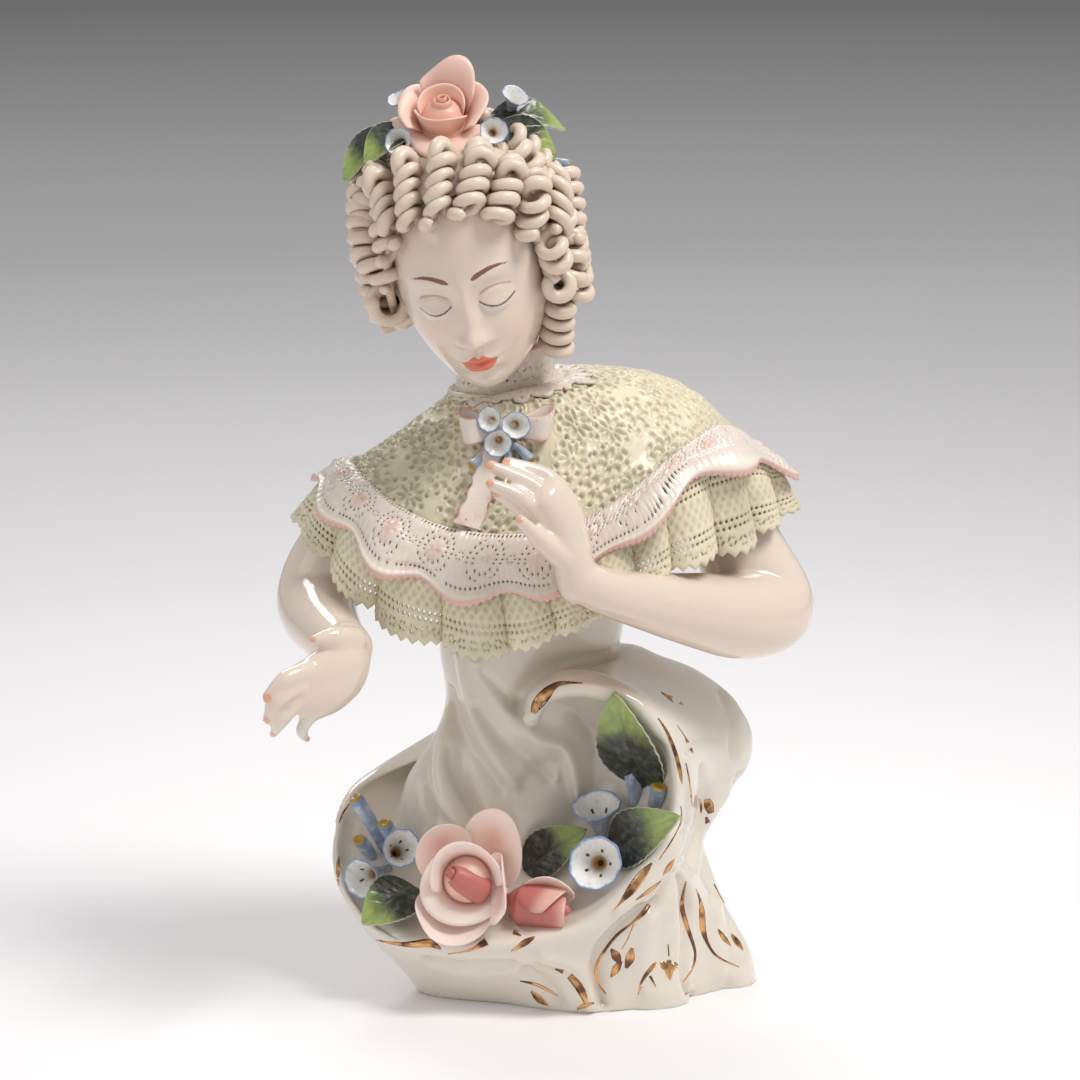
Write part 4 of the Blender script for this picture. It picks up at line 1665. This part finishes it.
def build_trumpets(looks, name, specs):
    """Open flower trumpets: a turned profile with fine flutes and a scalloped lip."""
    profile = np.array(TRUMPET_PROFILE, float)
    sides = 56
    a = np.arange(sides) * TURN / sides
    finish = trumpet_finish(looks, name.startswith("base"))
    for i, one in enumerate(specs):
        at, tip = np.array(one["at"], float), np.array(one["tip"], float)
        length = np.linalg.norm(tip - at)
        open_part = smooth(0.3, 1, profile[:, 0])[:, None]
        wobble = 1 + open_part * (0.022 * np.cos(9 * a + i) + 0.035 * np.sin(2 * a + 2 * i))[None]
        r = profile[:, :1] * one["radius"] * wobble
        z = profile[:, 1:2] * length + open_part * (0.05 * one["radius"] * np.cos(3 * a + i))[None]
        rings = np.stack([np.cos(a)[None] * r, np.sin(a)[None] * r, z + 0 * r], -1)
        verts, faces = skin(placed(rings, at, axes_of(tip - at)))
        marks = {
            "inside": np.append(np.repeat(profile[:, 2], sides), [0, 1]),
            "round": np.append(np.tile(np.cos(5 * a), len(profile)), [1, 1]),
            "out": np.append(np.repeat(profile[:, 0], sides), [0, 0]),
        }
        made = make_object(f"{name}_{i + 1}", verts, outward(verts, faces), marks)
        hand_over(made, finish, "blue_glaze", f"{name}_{i + 1}")


def trumpet_finish(looks, dotted):
    """White inside with a blue lip and an ochre throat, pale blue outside; some have dark dots."""
    f = Finish("dotted_trumpet" if dotted else "trumpet", 0.3, IOR=1.5)
    f.set(Coat__Weight=0.35, Coat__Roughness=0.15)
    streak = f.noise(1.6, 3)
    out, inside = f.mark("out"), f.mark("inside")
    body = f.mix(f.range(streak, 0.3, 0.7), tuple(looks.blue_pale), tuple(looks.blue))
    white = f.mix(f.range(streak, 0.45, 0.95), (0.84, 0.82, 0.78), tuple(looks.blue_pale))
    throat = f.range(f.math("ADD", out, f.math("MULTIPLY", streak, 0.1)), 0.42, 0.24)
    white = f.mix(f.math("MULTIPLY", throat, 0.9), white, (0.55, 0.30, 0.05))
    white = f.mix(f.range(out, 0.16, 0.08), white, (0.08, 0.04, 0.01))
    if dotted:
        ring = f.range(f.math("ABSOLUTE", f.math("SUBTRACT", out, 0.48)), 0.075, 0.04)
        dots = f.math("MULTIPLY", ring, f.range(f.mark("round"), 0.78, 0.88))
        white = f.mix(dots, white, (0.012, 0.012, 0.015))
    edge = f.range(f.math("ADD", out, f.math("MULTIPLY", streak, 0.12)), 0.93, 1.03)
    white = f.mix(edge, white, tuple(looks.blue_deep))
    colour = f.mix(f.range(inside, 0.4, 0.6), body, white)
    f.set(Base__Color=colour)
    f.relief(f.noise(1.1, 2), 0.05)
    return f.material


def build_buds(looks, name, specs):
    """Closed flower tubes: a fluted rod that widens to its end, pinched shut there."""
    sides = 30
    a = np.arange(sides) * TURN / sides
    t = np.array([0, 0.12, 0.3, 0.5, 0.7, 0.85, 0.94, 0.985, 1.0, 1.0])
    wide = np.array([0.72, 0.76, 0.82, 0.9, 0.98, 1.02, 1.0, 0.9, 0.62, 0.25])
    finish = bud_finish(looks)
    for i, one in enumerate(specs):
        at, tip = np.array(one["at"], float), np.array(one["tip"], float)
        length = np.linalg.norm(tip - at)
        flute = 1 + 0.05 * np.cos(5 * a + i)[None] * smooth(0.2, 0.9, t)[:, None]
        r = wide[:, None] * one["radius"] * flute
        dent = -0.9 * smooth(0.5, 0.1, wide / 1.02)[:, None] * (t > 0.99)[:, None]
        z = t[:, None] * length + dent + 0 * a[None]
        bend = 0.05 * length * np.sin(math.pi * t)[:, None]
        rings = np.stack([np.cos(a)[None] * r + bend, np.sin(a)[None] * r, z], -1)
        verts, faces = skin(placed(rings, at, axes_of(tip - at)))
        marks = {"along": np.append(np.repeat(t, sides), [0, 1])}
        made = make_object(f"{name}_{i + 1}", verts, outward(verts, faces), marks)
        hand_over(made, finish, "blue_glaze", f"{name}_{i + 1}")


def bud_finish(looks):
    """Pale blue with a mustard end."""
    f = Finish("bud", 0.3, IOR=1.5)
    f.set(Coat__Weight=0.35, Coat__Roughness=0.15)
    streak = f.noise(3, 3)
    colour = f.mix(f.range(streak, 0.3, 0.7), tuple(looks.blue_pale), tuple(looks.blue))
    along = f.math("ADD", f.mark("along"), f.math("MULTIPLY", streak, 0.08))
    colour = f.mix(f.range(along, 0.94, 0.97), colour, tuple(looks.blue_deep))
    colour = f.mix(f.range(along, 0.99, 1.02), colour, tuple(looks.mustard))
    f.set(Base__Color=colour)
    f.relief(f.noise(1.2, 2), 0.05)
    return f.material


LEAF_THICK = 1.5


def build_leaves(looks, name, specs):
    """Leaves: pointed ovals with toothed edges, side veins pressed in and a raised fold along the middle."""
    finish = leaf_finish(looks)
    for i, one in enumerate(specs):
        at, tip = np.array(one["at"], float), np.array(one["tip"], float)
        length, width = np.linalg.norm(tip - at), one["width"]
        y = (tip - at) / length
        face = np.array(one["face"], float)
        z = unit(face - (face @ y) * y)
        x = np.cross(y, z)
        t = np.linspace(0, 1, 56)[:, None]
        s = np.linspace(-1, 1, 29)[None]
        half = width / 2 * np.maximum(np.sin(math.pi * t**0.8), 0) ** 0.75
        half = half * (1 + 0.05 * np.abs(((t * 11) % 1) * 2 - 1)) + 0.25
        reach = np.sign(s) * np.abs(s) ** 0.9
        vein = np.abs((((t * 7 - np.abs(s) * 1.9) % 1) - 0.5)) * 2
        relief = -0.35 * bump((1 - vein) / 0.22) * smooth(0.04, 0.3, np.abs(s)) * smooth(1, 0.9, np.abs(s))
        relief = relief - 0.5 * bump(s / 0.05)
        lift = 3 * np.sin(math.pi * t) + 2.2 * np.abs(s) * np.sin(math.pi * t)
        lift = lift + 0.7 * np.sin(5 * t + 2 * s + i) * np.abs(s) + relief
        top = np.stack([reach * half, t * length + 0 * s, lift], -1)
        shift = np.zeros_like(top)
        shift[..., 2] = LEAF_THICK * (1 - 0.6 * s**8)
        verts, faces = slab(placed(top, at, (x, y, z)), placed(top - shift, at, (x, y, z)))
        flat = {"along": t + 0 * s, "side": np.abs(s) + 0 * t}
        marks = {k: np.tile(v.ravel(), 2) for k, v in flat.items()}
        made = make_object(f"{name}_{i + 1}", verts, outward(verts, faces), marks)
        hand_over(made, finish, "leaf_glaze", f"{name}_{i + 1}")


def leaf_finish(looks):
    """Dark grey-green towards the stalk, yellow-green at the tip, with a pale worn edge."""
    f = Finish("leaf", 0.3, IOR=1.5)
    f.set(Coat__Weight=0.35, Coat__Roughness=0.15)
    cloudy = f.noise(9, 4, 0.65)
    along = f.math("ADD", f.mark("along"), f.math("MULTIPLY", cloudy, 0.5))
    colour = f.mix(f.range(along, 0.75, 1.12), tuple(looks.leaf_dark), tuple(looks.leaf_light))
    mottle = f.range(f.noise(3, 3), 0.45, 0.7)
    colour = f.mix(f.math("MULTIPLY", mottle, 0.35), colour, (0.22, 0.24, 0.2))
    colour = f.mix(f.range(f.mark("side"), 0.94, 1.0), colour, (0.5, 0.52, 0.38))
    f.set(Base__Color=colour)
    f.relief(f.noise(0.8, 3), 0.12)
    return f.material


BOW_AT = (-13, -32, 218)


def bow_loop(side, lift, long, drop):
    """One loop of the bow: a band that runs out from the knot, round and back, wider at its end.

    u runs along the band from 0 to 1: it goes out as sin(pi u) and in depth as sin(2 pi u); v runs
    across the band, which is narrow at the knot and wide at the loop's end.
    """
    u = np.linspace(0, 1, 56)[:, None]
    v = np.linspace(-0.5, 0.5, 16)[None]
    out = np.sin(math.pi * u) ** 0.8
    x = side * long * out
    y = -1.5 - 4.2 * np.sin(TURN * u) * (0.5 + 0.5 * out)
    wide = 3.5 + 8.5 * out
    z = lift * out + v * wide - drop * out * np.clip(np.sin(TURN * u), 0, 1)
    z = z + 0.5 * np.sin(9 * u + 3 * v)
    grid = np.stack([x + side * v * 2.5 * out, y + 1.8 * v, z], -1)
    edge = np.abs(2 * v) ** 6 + 0 * u
    verts, faces = leaf_of(1.2, grid, edge)
    return verts, faces, np.tile((np.abs(2 * v) + 0 * u).ravel(), 2)


def build_bow(looks):
    """The ribbon bow at the throat: two hollow loops, a knot and a tail that hangs behind the hand."""
    parts, tones = [], []
    for verts, faces, tone in (bow_loop(-1, 1.0, 15.5, 2.0), bow_loop(1, 2.5, 17.0, 2.0)):
        parts.append((verts + BOW_AT, outward(verts, faces)))
        tones.append(tone)
    verts, faces = limb([[-16, -34, 218, 3, 3], [-13, -35.5, 218.5, 3.4, 3.2], [-10, -34, 219, 3, 3]])
    parts.append((verts, faces))
    tones.append(np.zeros(len(verts)))
    t = np.linspace(0, 1, 60)
    tail = spline(TAIL, t)
    v = np.linspace(-1, 1, 14)[None]
    ragged = 1 + 0.1 * np.sin(t * 40)[:, None] * np.abs(v) ** 3
    across = np.array([0.93, 0.1, -0.33])
    grid = tail[:, None, :3] + (v * ragged * (tail[:, 3:4] * 0.8))[..., None] * across
    grid[..., 1] += 0.9 * np.sin(t * 9)[:, None] * v - 1.4
    verts, faces = leaf_of(1.1, grid, np.abs(v) ** 6 + 0 * t[:, None])
    parts.append((verts, outward(verts, faces)))
    tones.append(np.tile((np.abs(v) + 0 * t[:, None]).ravel(), 2))
    verts, faces = merged(parts)
    made = make_object("bow", verts, faces, {"level": 0.5 + 0.47 * np.concatenate(tones)})
    return hand_over(made, bow_finish(looks), "pink_lace", "bow")


def bow_finish(looks):
    """White glazed ribbon with pink edges and small dark pits."""
    f = Finish("bow", 0.32, IOR=1.5)
    f.set(Coat__Weight=0.35, Coat__Roughness=0.15)
    colour = f.mix(f.range(f.noise(9, 2), 0.55, 0.7), tuple(looks.white), tuple(looks.pink))
    colour = f.mix(f.range(f.mark("level"), 0.9, 0.95), colour, (0.72, 0.38, 0.32))
    pits = f.range(f.noise(1.3, 2), 0.3, 0.22)
    colour = f.mix(f.math("MULTIPLY", pits, 0.7), colour, (0.16, 0.11, 0.08))
    f.set(Base__Color=colour)
    f.relief(f.noise(1.0, 3), 0.15)
    return f.material


def build_collar(looks):
    """The lace collar: up the neck to the jaw, and spread over the cape in ragged points."""
    turn = np.arange(220) * TURN / 220
    up = []
    for t in np.linspace(14.75, 13.0, 20) / 15:
        x, y, z, a, b, roll, yaw = spline(TORSO, np.array([t]))[0]
        ring = np.stack([np.cos(turn) * (a + 1.0), np.sin(turn) * (b + 1.0), 0 * turn], -1)
        up.append(tilted(ring, roll, yaw) + (x, y, z))
    rings = cape_rings(turn)
    over = spline(rings.reshape(len(rings), -1), np.linspace(0.05, 0.33, 16)).reshape(16, -1, 3)
    over = over + normals_of(over) * 1.3
    path = np.concatenate([np.array(up), over])
    length = np.linalg.norm(np.diff(path, axis=0), axis=-1).mean(1)
    length = np.concatenate([[0], np.cumsum(length)])
    rows = int(length[-1] / looks.lace_cell)
    want = np.linspace(0, length[-1], rows)
    flat = path.reshape(len(path), -1)
    index = np.interp(want, length, np.arange(len(path)))
    low = np.floor(index).astype(int)
    high = np.minimum(low + 1, len(path) - 1)
    part = (index - low)[:, None]
    mid = (flat[low] * (1 - part) + flat[high] * part).reshape(rows, -1, 3)
    for _ in range(6):
        mid[1:-1] = (mid[:-2] + 2 * mid[1:-1] + mid[2:]) / 4
    h = np.broadcast_to(want[:, None], mid.shape[:2])
    s = np.broadcast_to((turn / TURN * 130)[None], h.shape)
    spot = np.stack([s, h, 0 * h], -1)
    f = row_of(s, h + 0.6 * np.sin(s * 0.7), 3.2, 9, 0.5)
    for k, at in enumerate((13, 17, 20.5, 24, 27, 30.5, 34)):
        aside, aloft = s + 1.3 * noise(spot, 11, k), h + 0.8 * noise(spot, 7, 20 + k)
        hole = row_of(aside, aloft, 2.6, at, 0.5, 0.37 * k)
        f = np.minimum(f, hole + np.where(noise(spot, 9, 40 + k) > 0.2, 0.9, 0))
    jag = ((s / 6.5) % 1 - 0.5) * 2
    back = smooth(-0.75, -0.2, np.sin(turn))[None]
    edge = want[-1] - 3.4 * np.abs(jag) - 1.2 * (1 + noise(spot, 14, 61)) - 6.5 * back
    f = np.minimum(np.minimum(f, edge - h), h - 0.1)
    f[0], f[-1] = -1, -1
    raised = 0.25 * smooth(0, 0.5, f) + 0.15 * noise(spot, 2.6, 62)
    verts, faces, at = lace_mesh(mid, normals_of(mid), f, 0.7, raised)
    made = make_object("lace_collar", verts, faces, {"level": sample(h / want[-1] + 0 * h, at)})
    return hand_over(made, collar_finish(looks), "pink_lace", "lace_collar")


def collar_finish(looks):
    """Greyish white lace with a thin pink line along the jaw."""
    f = Finish("collar", 0.4, IOR=1.5)
    f.set(Coat__Weight=0.3, Coat__Roughness=0.2)
    grime = f.range(f.noise(2.0, 4, 0.7), 0.45, 0.75)
    colour = f.mix(f.math("MULTIPLY", grime, 0.6), tuple(0.9 * c for c in looks.white), (0.36, 0.31, 0.24))
    colour = f.mix(f.range(f.noise(12, 2), 0.62, 0.85), colour, tuple(looks.pink))
    colour = f.mix(f.range(f.mark("level"), 0.05, 0.03), colour, (0.62, 0.3, 0.24))
    pits = f.range(f.noise(1.5, 2), 0.3, 0.2)
    colour = f.mix(f.math("MULTIPLY", pits, 0.75), colour, (0.12, 0.09, 0.06))
    f.set(Base__Color=colour)
    f.relief(f.noise(1.0, 3, 0.6), 0.25)
    return f.material


# Camera, floor and light


def floor_disc(radius=9000, rings=90, sides=96):
    """A flat disc at height 0: rings whose radius grows as a power of their number."""
    r = radius * (np.arange(1, rings + 1) / rings) ** 2.5
    a = np.arange(sides) * TURN / sides
    p = np.stack([np.cos(a)[None] * r[:, None], np.sin(a)[None] * r[:, None], 0 * r[:, None] * a], -1)
    verts = np.concatenate([p.reshape(-1, 3), [[0, 0, 0]]])
    c = np.arange(sides)
    fan = np.stack([c, (c + 1) % sides, np.full(sides, len(verts) - 1)], -1)
    return make_object("floor", verts, [grid_quads(rings, sides)[:, ::-1], fan])


# How the floor's grey changes: metres from the object, and the grey there
FLOOR_STOPS = [
    (0.0, 0.94), (0.3, 0.90), (0.55, 0.81), (0.77, 0.71), (1.04, 0.64),
    (1.4, 0.61), (1.85, 0.64), (2.5, 0.57), (3.4, 0.40), (4.8, 0.21),
]
FLOOR_REACH = 5.0


def floor_finish():
    """Plain pale floor that darkens smoothly with the distance from the object."""
    f = Finish("studio_floor", 0.55)
    f.shader.inputs["Specular IOR Level"].default_value = 0.25
    away = f.length("LENGTH", f.place)
    ramp = f.add("ShaderNodeValToRGB")
    f.give(ramp.inputs[0], f.math("DIVIDE", away, FLOOR_REACH))
    while len(ramp.color_ramp.elements) < len(FLOOR_STOPS):
        ramp.color_ramp.elements.new(0.5)
    for element, (at, grey) in zip(ramp.color_ramp.elements, FLOOR_STOPS):
        element.position = at / FLOOR_REACH
        element.color = (grey, 0.978 * grey, 0.988 * grey, 1)
    f.set(Base__Color=ramp.outputs[0])
    return f.material


def area_light(name, at, aim, size, power, colour=(1, 1, 1)):
    """A rectangular lamp at a place in millimetres, turned to a point."""
    data = bpy.data.lights.new(name, "AREA")
    data.shape = "RECTANGLE"
    data.size, data.size_y = size[0] * MM, size[1] * MM
    data.energy = power
    data.color = colour
    light = bpy.data.objects.new(name, data)
    light.location = Vector(at) * MM
    light.rotation_euler = (Vector(aim) - Vector(at)).to_track_quat("-Z", "Y").to_euler()
    bpy.context.scene.collection.objects.link(light)


def build_stage():
    """The photograph's camera, a pale floor, three lamps and a white world."""
    scene = bpy.context.scene
    data = bpy.data.cameras.new("camera")
    data.sensor_width = 36
    data.lens = LENS_PIXELS / FRAME_PIXELS * data.sensor_width
    data.clip_end = 30
    camera = bpy.data.objects.new("camera", data)
    tilt = math.radians(CAMERA_TILT)
    camera.location = Vector(CAMERA_AT) * MM
    camera.rotation_euler = (math.pi / 2 - tilt, 0, 0)
    scene.collection.objects.link(camera)
    scene.camera = camera
    floor = floor_disc()
    floor.data.materials.append(floor_finish())
    area_light("key", (760, -420, 1600), (0, 0, 180), (600, 600), 19, (1.0, 0.99, 0.975))
    area_light("fill", (-1200, -700, 600), (0, 0, 150), (900, 900), 2)
    area_light("back", (-300, 1200, 1100), (0, 0, 200), (900, 500), 6)
    world = bpy.data.worlds.new("studio")
    world.use_nodes = True
    glow = world.node_tree.nodes["Background"]
    glow.inputs["Color"].default_value = (1, 1, 1, 1)
    glow.inputs["Strength"].default_value = 0.5
    scene.world = world
    scene.view_settings.view_transform = "Standard"


# Pieces


def gild(body, looks):
    """Lays the ribbons of gold on the finished figure, as faces with a finish of their own."""
    tree = BVHTree.FromObject(body, bpy.context.evaluated_depsgraph_get())
    gold = make_object("gilding", *gilded(tree))
    both = bmesh.new()
    both.from_mesh(body.data)
    plain = len(both.faces)
    both.from_mesh(gold.data)
    both.to_mesh(body.data)
    both.free()
    bpy.data.objects.remove(gold)
    body.data.materials.clear()
    glaze = glaze_finish(looks)
    for material in (glaze, gold_finish()):
        body.data.materials.append(material)
    faces = body.data.polygons
    faces.foreach_set("material_index", (np.arange(len(faces)) >= plain).astype(np.int32))
    faces.foreach_set("use_smooth", np.ones(len(faces), bool))
    return glaze


def add_marks(body):
    """Stores on every vertex whether it is bare skin, and where the face is painted."""
    p = points_of(body.data)
    trunk = ((p[:, 0] + 4) / 40) ** 2 + ((p[:, 1] - 3) / 31) ** 2
    dressed = smooth(1.3, 1.1, trunk) * smooth(192, 186, p[:, 2])
    put_mark(body.data, "skin", smooth(SKIRT_TOP, SKIRT_TOP + 6, p[:, 2]) * (1 - dressed))
    local = off_head(p)
    on_face = (np.abs(local[:, 0]) < 30) & (local[:, 2] > -46.5) & (local[:, 1] < 0) & (p[:, 2] > 228)
    for key, mark in zip(("lips", "brows", "lash", "fold", "blush"), face_marks(local)):
        put_mark(body.data, key, np.where(on_face, mark, -3))


def drop_flecks(body):
    """Deletes flat flecks that the thinning may leave: pairs of faces whose middles are the same point."""
    mesh = body.data
    middles = np.empty(len(mesh.polygons) * 3, np.float32)
    mesh.polygons.foreach_get("center", middles)
    places = np.round(middles.reshape(-1, 3) / MM, 3)
    _, which, count = np.unique(places, axis=0, return_inverse=True, return_counts=True)
    double = np.flatnonzero(count[which.ravel()] > 1)
    shell = bmesh.new()
    shell.from_mesh(mesh)
    shell.faces.ensure_lookup_table()
    bmesh.ops.delete(shell, geom=[shell.faces[k] for k in double], context="FACES")
    shell.to_mesh(mesh)
    shell.free()


def build_figure(looks):
    """Joins the shells by a fine voxel skin, eases and carves it, and unites it with the head."""
    verts, faces = body_shells()
    verts[:, 2] = np.maximum(verts[:, 2], 0)
    body = make_object("figure", verts, faces)
    remesh = body.modifiers.new("skin", "REMESH")
    remesh.mode = "VOXEL"
    remesh.voxel_size = looks.skin_voxel * MM
    ease = body.modifiers.new("ease", "SMOOTH")
    ease.factor, ease.iterations = 0.5, 8
    apply_all(body)
    p = points_of(body.data)
    bowl = (p[:, 2] > 16) & (p[:, 2] < 126) & (p[:, 1] < -4)
    body.vertex_groups.new(name="bowl").add(np.flatnonzero(bowl).tolist(), 1.0, "REPLACE")
    settle = body.modifiers.new("settle", "SMOOTH")
    settle.factor, settle.iterations, settle.vertex_group = 0.5, 60, "bowl"
    apply_all(body)
    carve(body)
    thin = body.modifiers.new("thin", "DECIMATE")
    thin.ratio = min(1, looks.body_faces / sum(len(p.vertices) - 2 for p in body.data.polygons))
    head_verts, head_faces = skin(on_head(head_grid()))
    head = make_object("head", head_verts, outward(head_verts, head_faces))
    unite = body.modifiers.new("unite", "BOOLEAN")
    unite.operation, unite.solver, unite.object = "UNION", "MANIFOLD", head
    apply_all(body)
    bpy.data.objects.remove(head)
    drop_flecks(body)
    p = points_of(body.data)
    p[:, 2] = np.where(p[:, 2] < 0.5, 0, p[:, 2])
    body.data.vertices.foreach_set("co", (p * MM).ravel())
    add_marks(body)
    return hand_over(body, gild(body, looks), "white_glaze", "figure")


def off_head(p):
    """The way back from the figure's axes to the head's."""
    rx, ry, rz = np.radians(HEAD_NOD), np.radians(-HEAD_ROLL), np.radians(HEAD_YAW)
    q = p - HEAD_CENTRE
    x, y, z = q[:, 0], q[:, 1], q[:, 2]
    x, y = x * np.cos(rz) + y * np.sin(rz), -x * np.sin(rz) + y * np.cos(rz)
    x, z = x * np.cos(ry) - z * np.sin(ry), x * np.sin(ry) + z * np.cos(ry)
    y, z = y * np.cos(rx) + z * np.sin(rx), -y * np.sin(rx) + z * np.cos(rx)
    return np.stack([x, y, z], -1)


class LadyLooks(PropertyGroup):
    """Sizes and colours that a user may change."""

    glaze: FloatVectorProperty(name="Glaze", description="Colour of the glazed base and skirt",
                               default=(0.80, 0.73, 0.635), subtype="COLOR", min=0, max=1)
    skin: FloatVectorProperty(name="Skin", description="Colour of the face, arms and hands",
                              default=(0.80, 0.67, 0.56), subtype="COLOR", min=0, max=1)
    skin_voxel: FloatProperty(name="Voxel", description="Size of the voxels that join the figure, in mm",
                              default=0.85, min=0.5, max=5)
    body_faces: IntProperty(name="Body faces", description="Triangles kept in the figure below the head",
                            default=98000, min=10000, max=180000)
    hair: FloatVectorProperty(name="Hair", description="Colour of the clay curls",
                              default=(0.82, 0.69, 0.57), subtype="COLOR", min=0, max=1)
    hair_columns: IntProperty(name="Hair columns", description="Columns of coils round the head",
                              default=19, min=8, max=30)
    rope: FloatProperty(name="Rope", description="Thickness of the hair's ropes, in mm",
                        default=4.8, min=2, max=6)
    green: FloatVectorProperty(name="Green lace", description="Colour of the cape and the ruffle",
                               default=(0.60, 0.545, 0.39), subtype="COLOR", min=0, max=1)
    green_pale: FloatVectorProperty(name="Pale green lace", description="Its colour under thicker glaze",
                                    default=(0.86, 0.77, 0.56), subtype="COLOR", min=0, max=1)
    white: FloatVectorProperty(name="White lace", description="Colour of the trim, collar and bow",
                               default=(0.82, 0.72, 0.63), subtype="COLOR", min=0, max=1)
    pink: FloatVectorProperty(name="Pink", description="Colour of the trim's blotches",
                              default=(0.80, 0.52, 0.45), subtype="COLOR", min=0, max=1)
    lace_cell: FloatProperty(name="Lace cell", description="Size of the lace's mesh cells, in mm",
                             default=0.8, min=0.5, max=2)
    lace_thick: FloatProperty(name="Lace thickness", description="Thickness of the lace's threads, in mm",
                              default=0.9, min=0.4, max=2)
    rose: FloatVectorProperty(name="Rose", description="Colour of the base roses' petals",
                              default=(0.96, 0.78, 0.70), subtype="COLOR", min=0, max=1)
    rose_deep: FloatVectorProperty(name="Rose shade", description="Colour towards the petals' feet",
                                   default=(0.80, 0.46, 0.38), subtype="COLOR", min=0, max=1)
    rose_heart: FloatVectorProperty(name="Rose heart", description="Colour of the rolled heart and the bud",
                                    default=(0.56, 0.17, 0.15), subtype="COLOR", min=0, max=1)
    peach: FloatVectorProperty(name="Hair rose", description="Colour of the hair rose's petals",
                               default=(0.88, 0.60, 0.50), subtype="COLOR", min=0, max=1)
    peach_deep: FloatVectorProperty(name="Hair rose shade", description="Its colour towards the petals' feet",
                                    default=(0.78, 0.42, 0.31), subtype="COLOR", min=0, max=1)
    blue: FloatVectorProperty(name="Blue", description="Colour of the small flowers' tubes",
                              default=(0.27, 0.34, 0.46), subtype="COLOR", min=0, max=1)
    blue_pale: FloatVectorProperty(name="Pale blue", description="Their colour where the glaze is thin",
                                   default=(0.50, 0.55, 0.62), subtype="COLOR", min=0, max=1)
    blue_deep: FloatVectorProperty(name="Deep blue", description="Colour of the small flowers' lips",
                                   default=(0.19, 0.31, 0.55), subtype="COLOR", min=0, max=1)
    mustard: FloatVectorProperty(name="Mustard", description="Colour of the buds' ends",
                                 default=(0.42, 0.26, 0.03), subtype="COLOR", min=0, max=1)
    leaf_dark: FloatVectorProperty(name="Leaf", description="Colour of the leaves near their stalks",
                                   default=(0.026, 0.031, 0.022), subtype="COLOR", min=0, max=1)
    leaf_light: FloatVectorProperty(name="Leaf tip", description="Colour of the leaves' tips",
                                    default=(0.36, 0.46, 0.12), subtype="COLOR", min=0, max=1)


class LADY_OT_flowers(Operator):
    """The roses, trumpets, buds and leaves on the base, in the hair and at the throat"""

    bl_idname = "lady.flowers"
    bl_label = "Flowers"

    def execute(self, context):
        looks = context.scene.lady_looks
        build_base_rose(looks)
        build_rosebud(looks)
        build_hair_rose(looks)
        for name, specs in (("base", BASE_TRUMPETS), ("hair", HAIR_TRUMPETS), ("bow", BOW_TRUMPETS)):
            build_trumpets(looks, name + "_trumpet", specs)
        for name, specs in (("base", BASE_BUDS), ("hair", HAIR_BUDS), ("bow", BOW_BUDS)):
            build_buds(looks, name + "_bud", specs)
        for name, specs in (("base", BASE_LEAVES), ("hair", HAIR_LEAVES)):
            build_leaves(looks, name + "_leaf", specs)
        return {"FINISHED"}


class LADY_OT_ribbon(Operator):
    """The lace collar and the ribbon bow"""

    bl_idname = "lady.ribbon"
    bl_label = "Collar and bow"

    def execute(self, context):
        looks = context.scene.lady_looks
        build_collar(looks)
        build_bow(looks)
        return {"FINISHED"}


class LADY_OT_lace(Operator):
    """The lace cape, its ruffle and the trim between them"""

    bl_idname = "lady.lace"
    bl_label = "Lace"

    def execute(self, context):
        looks = context.scene.lady_looks
        build_cape(looks)
        build_ruffle(looks)
        build_trim(looks)
        return {"FINISHED"}


class LADY_OT_hair(Operator):
    """The coiled clay curls and the ringlets that hang below them"""

    bl_idname = "lady.hair"
    bl_label = "Hair"

    def execute(self, context):
        build_hair(context.scene.lady_looks)
        return {"FINISHED"}


class LADY_OT_stage(Operator):
    """Camera, pale floor and soft light"""

    bl_idname = "lady.stage"
    bl_label = "Stage"

    def execute(self, context):
        build_stage()
        return {"FINISHED"}


class LADY_OT_figure(Operator):
    """The glazed figure with its scroll base and head"""

    bl_idname = "lady.figure"
    bl_label = "Figure"

    def execute(self, context):
        build_figure(context.scene.lady_looks)
        return {"FINISHED"}


OPERATORS = [LADY_OT_stage, LADY_OT_figure, LADY_OT_hair, LADY_OT_lace, LADY_OT_ribbon, LADY_OT_flowers]


class LADY_PT_panel(Panel):
    """Lists the pieces in the 3-D view's sidebar"""

    bl_idname = "LADY_PT_panel"
    bl_label = "Porcelain Lady"
    bl_space_type = "VIEW_3D"
    bl_region_type = "UI"
    bl_category = "Lady"

    def draw(self, context):
        looks = context.scene.lady_looks
        for name in looks.__annotations__:
            self.layout.prop(looks, name)
        for operator in OPERATORS:
            self.layout.operator(operator.bl_idname)


CLASSES = [LadyLooks, *OPERATORS, LADY_PT_panel]


def register():
    """Registers the looks, the operators and the panel."""
    for one in CLASSES:
        bpy.utils.register_class(one)
    bpy.types.Scene.lady_looks = PointerProperty(type=LadyLooks)


def unregister():
    """Takes them away again."""
    del bpy.types.Scene.lady_looks
    for one in reversed(CLASSES):
        bpy.utils.unregister_class(one)


def main():
    register()
    for operator in OPERATORS:
        group, name = operator.bl_idname.split(".")
        getattr(getattr(bpy.ops, group), name)()


if __name__ == "__main__":
    main()
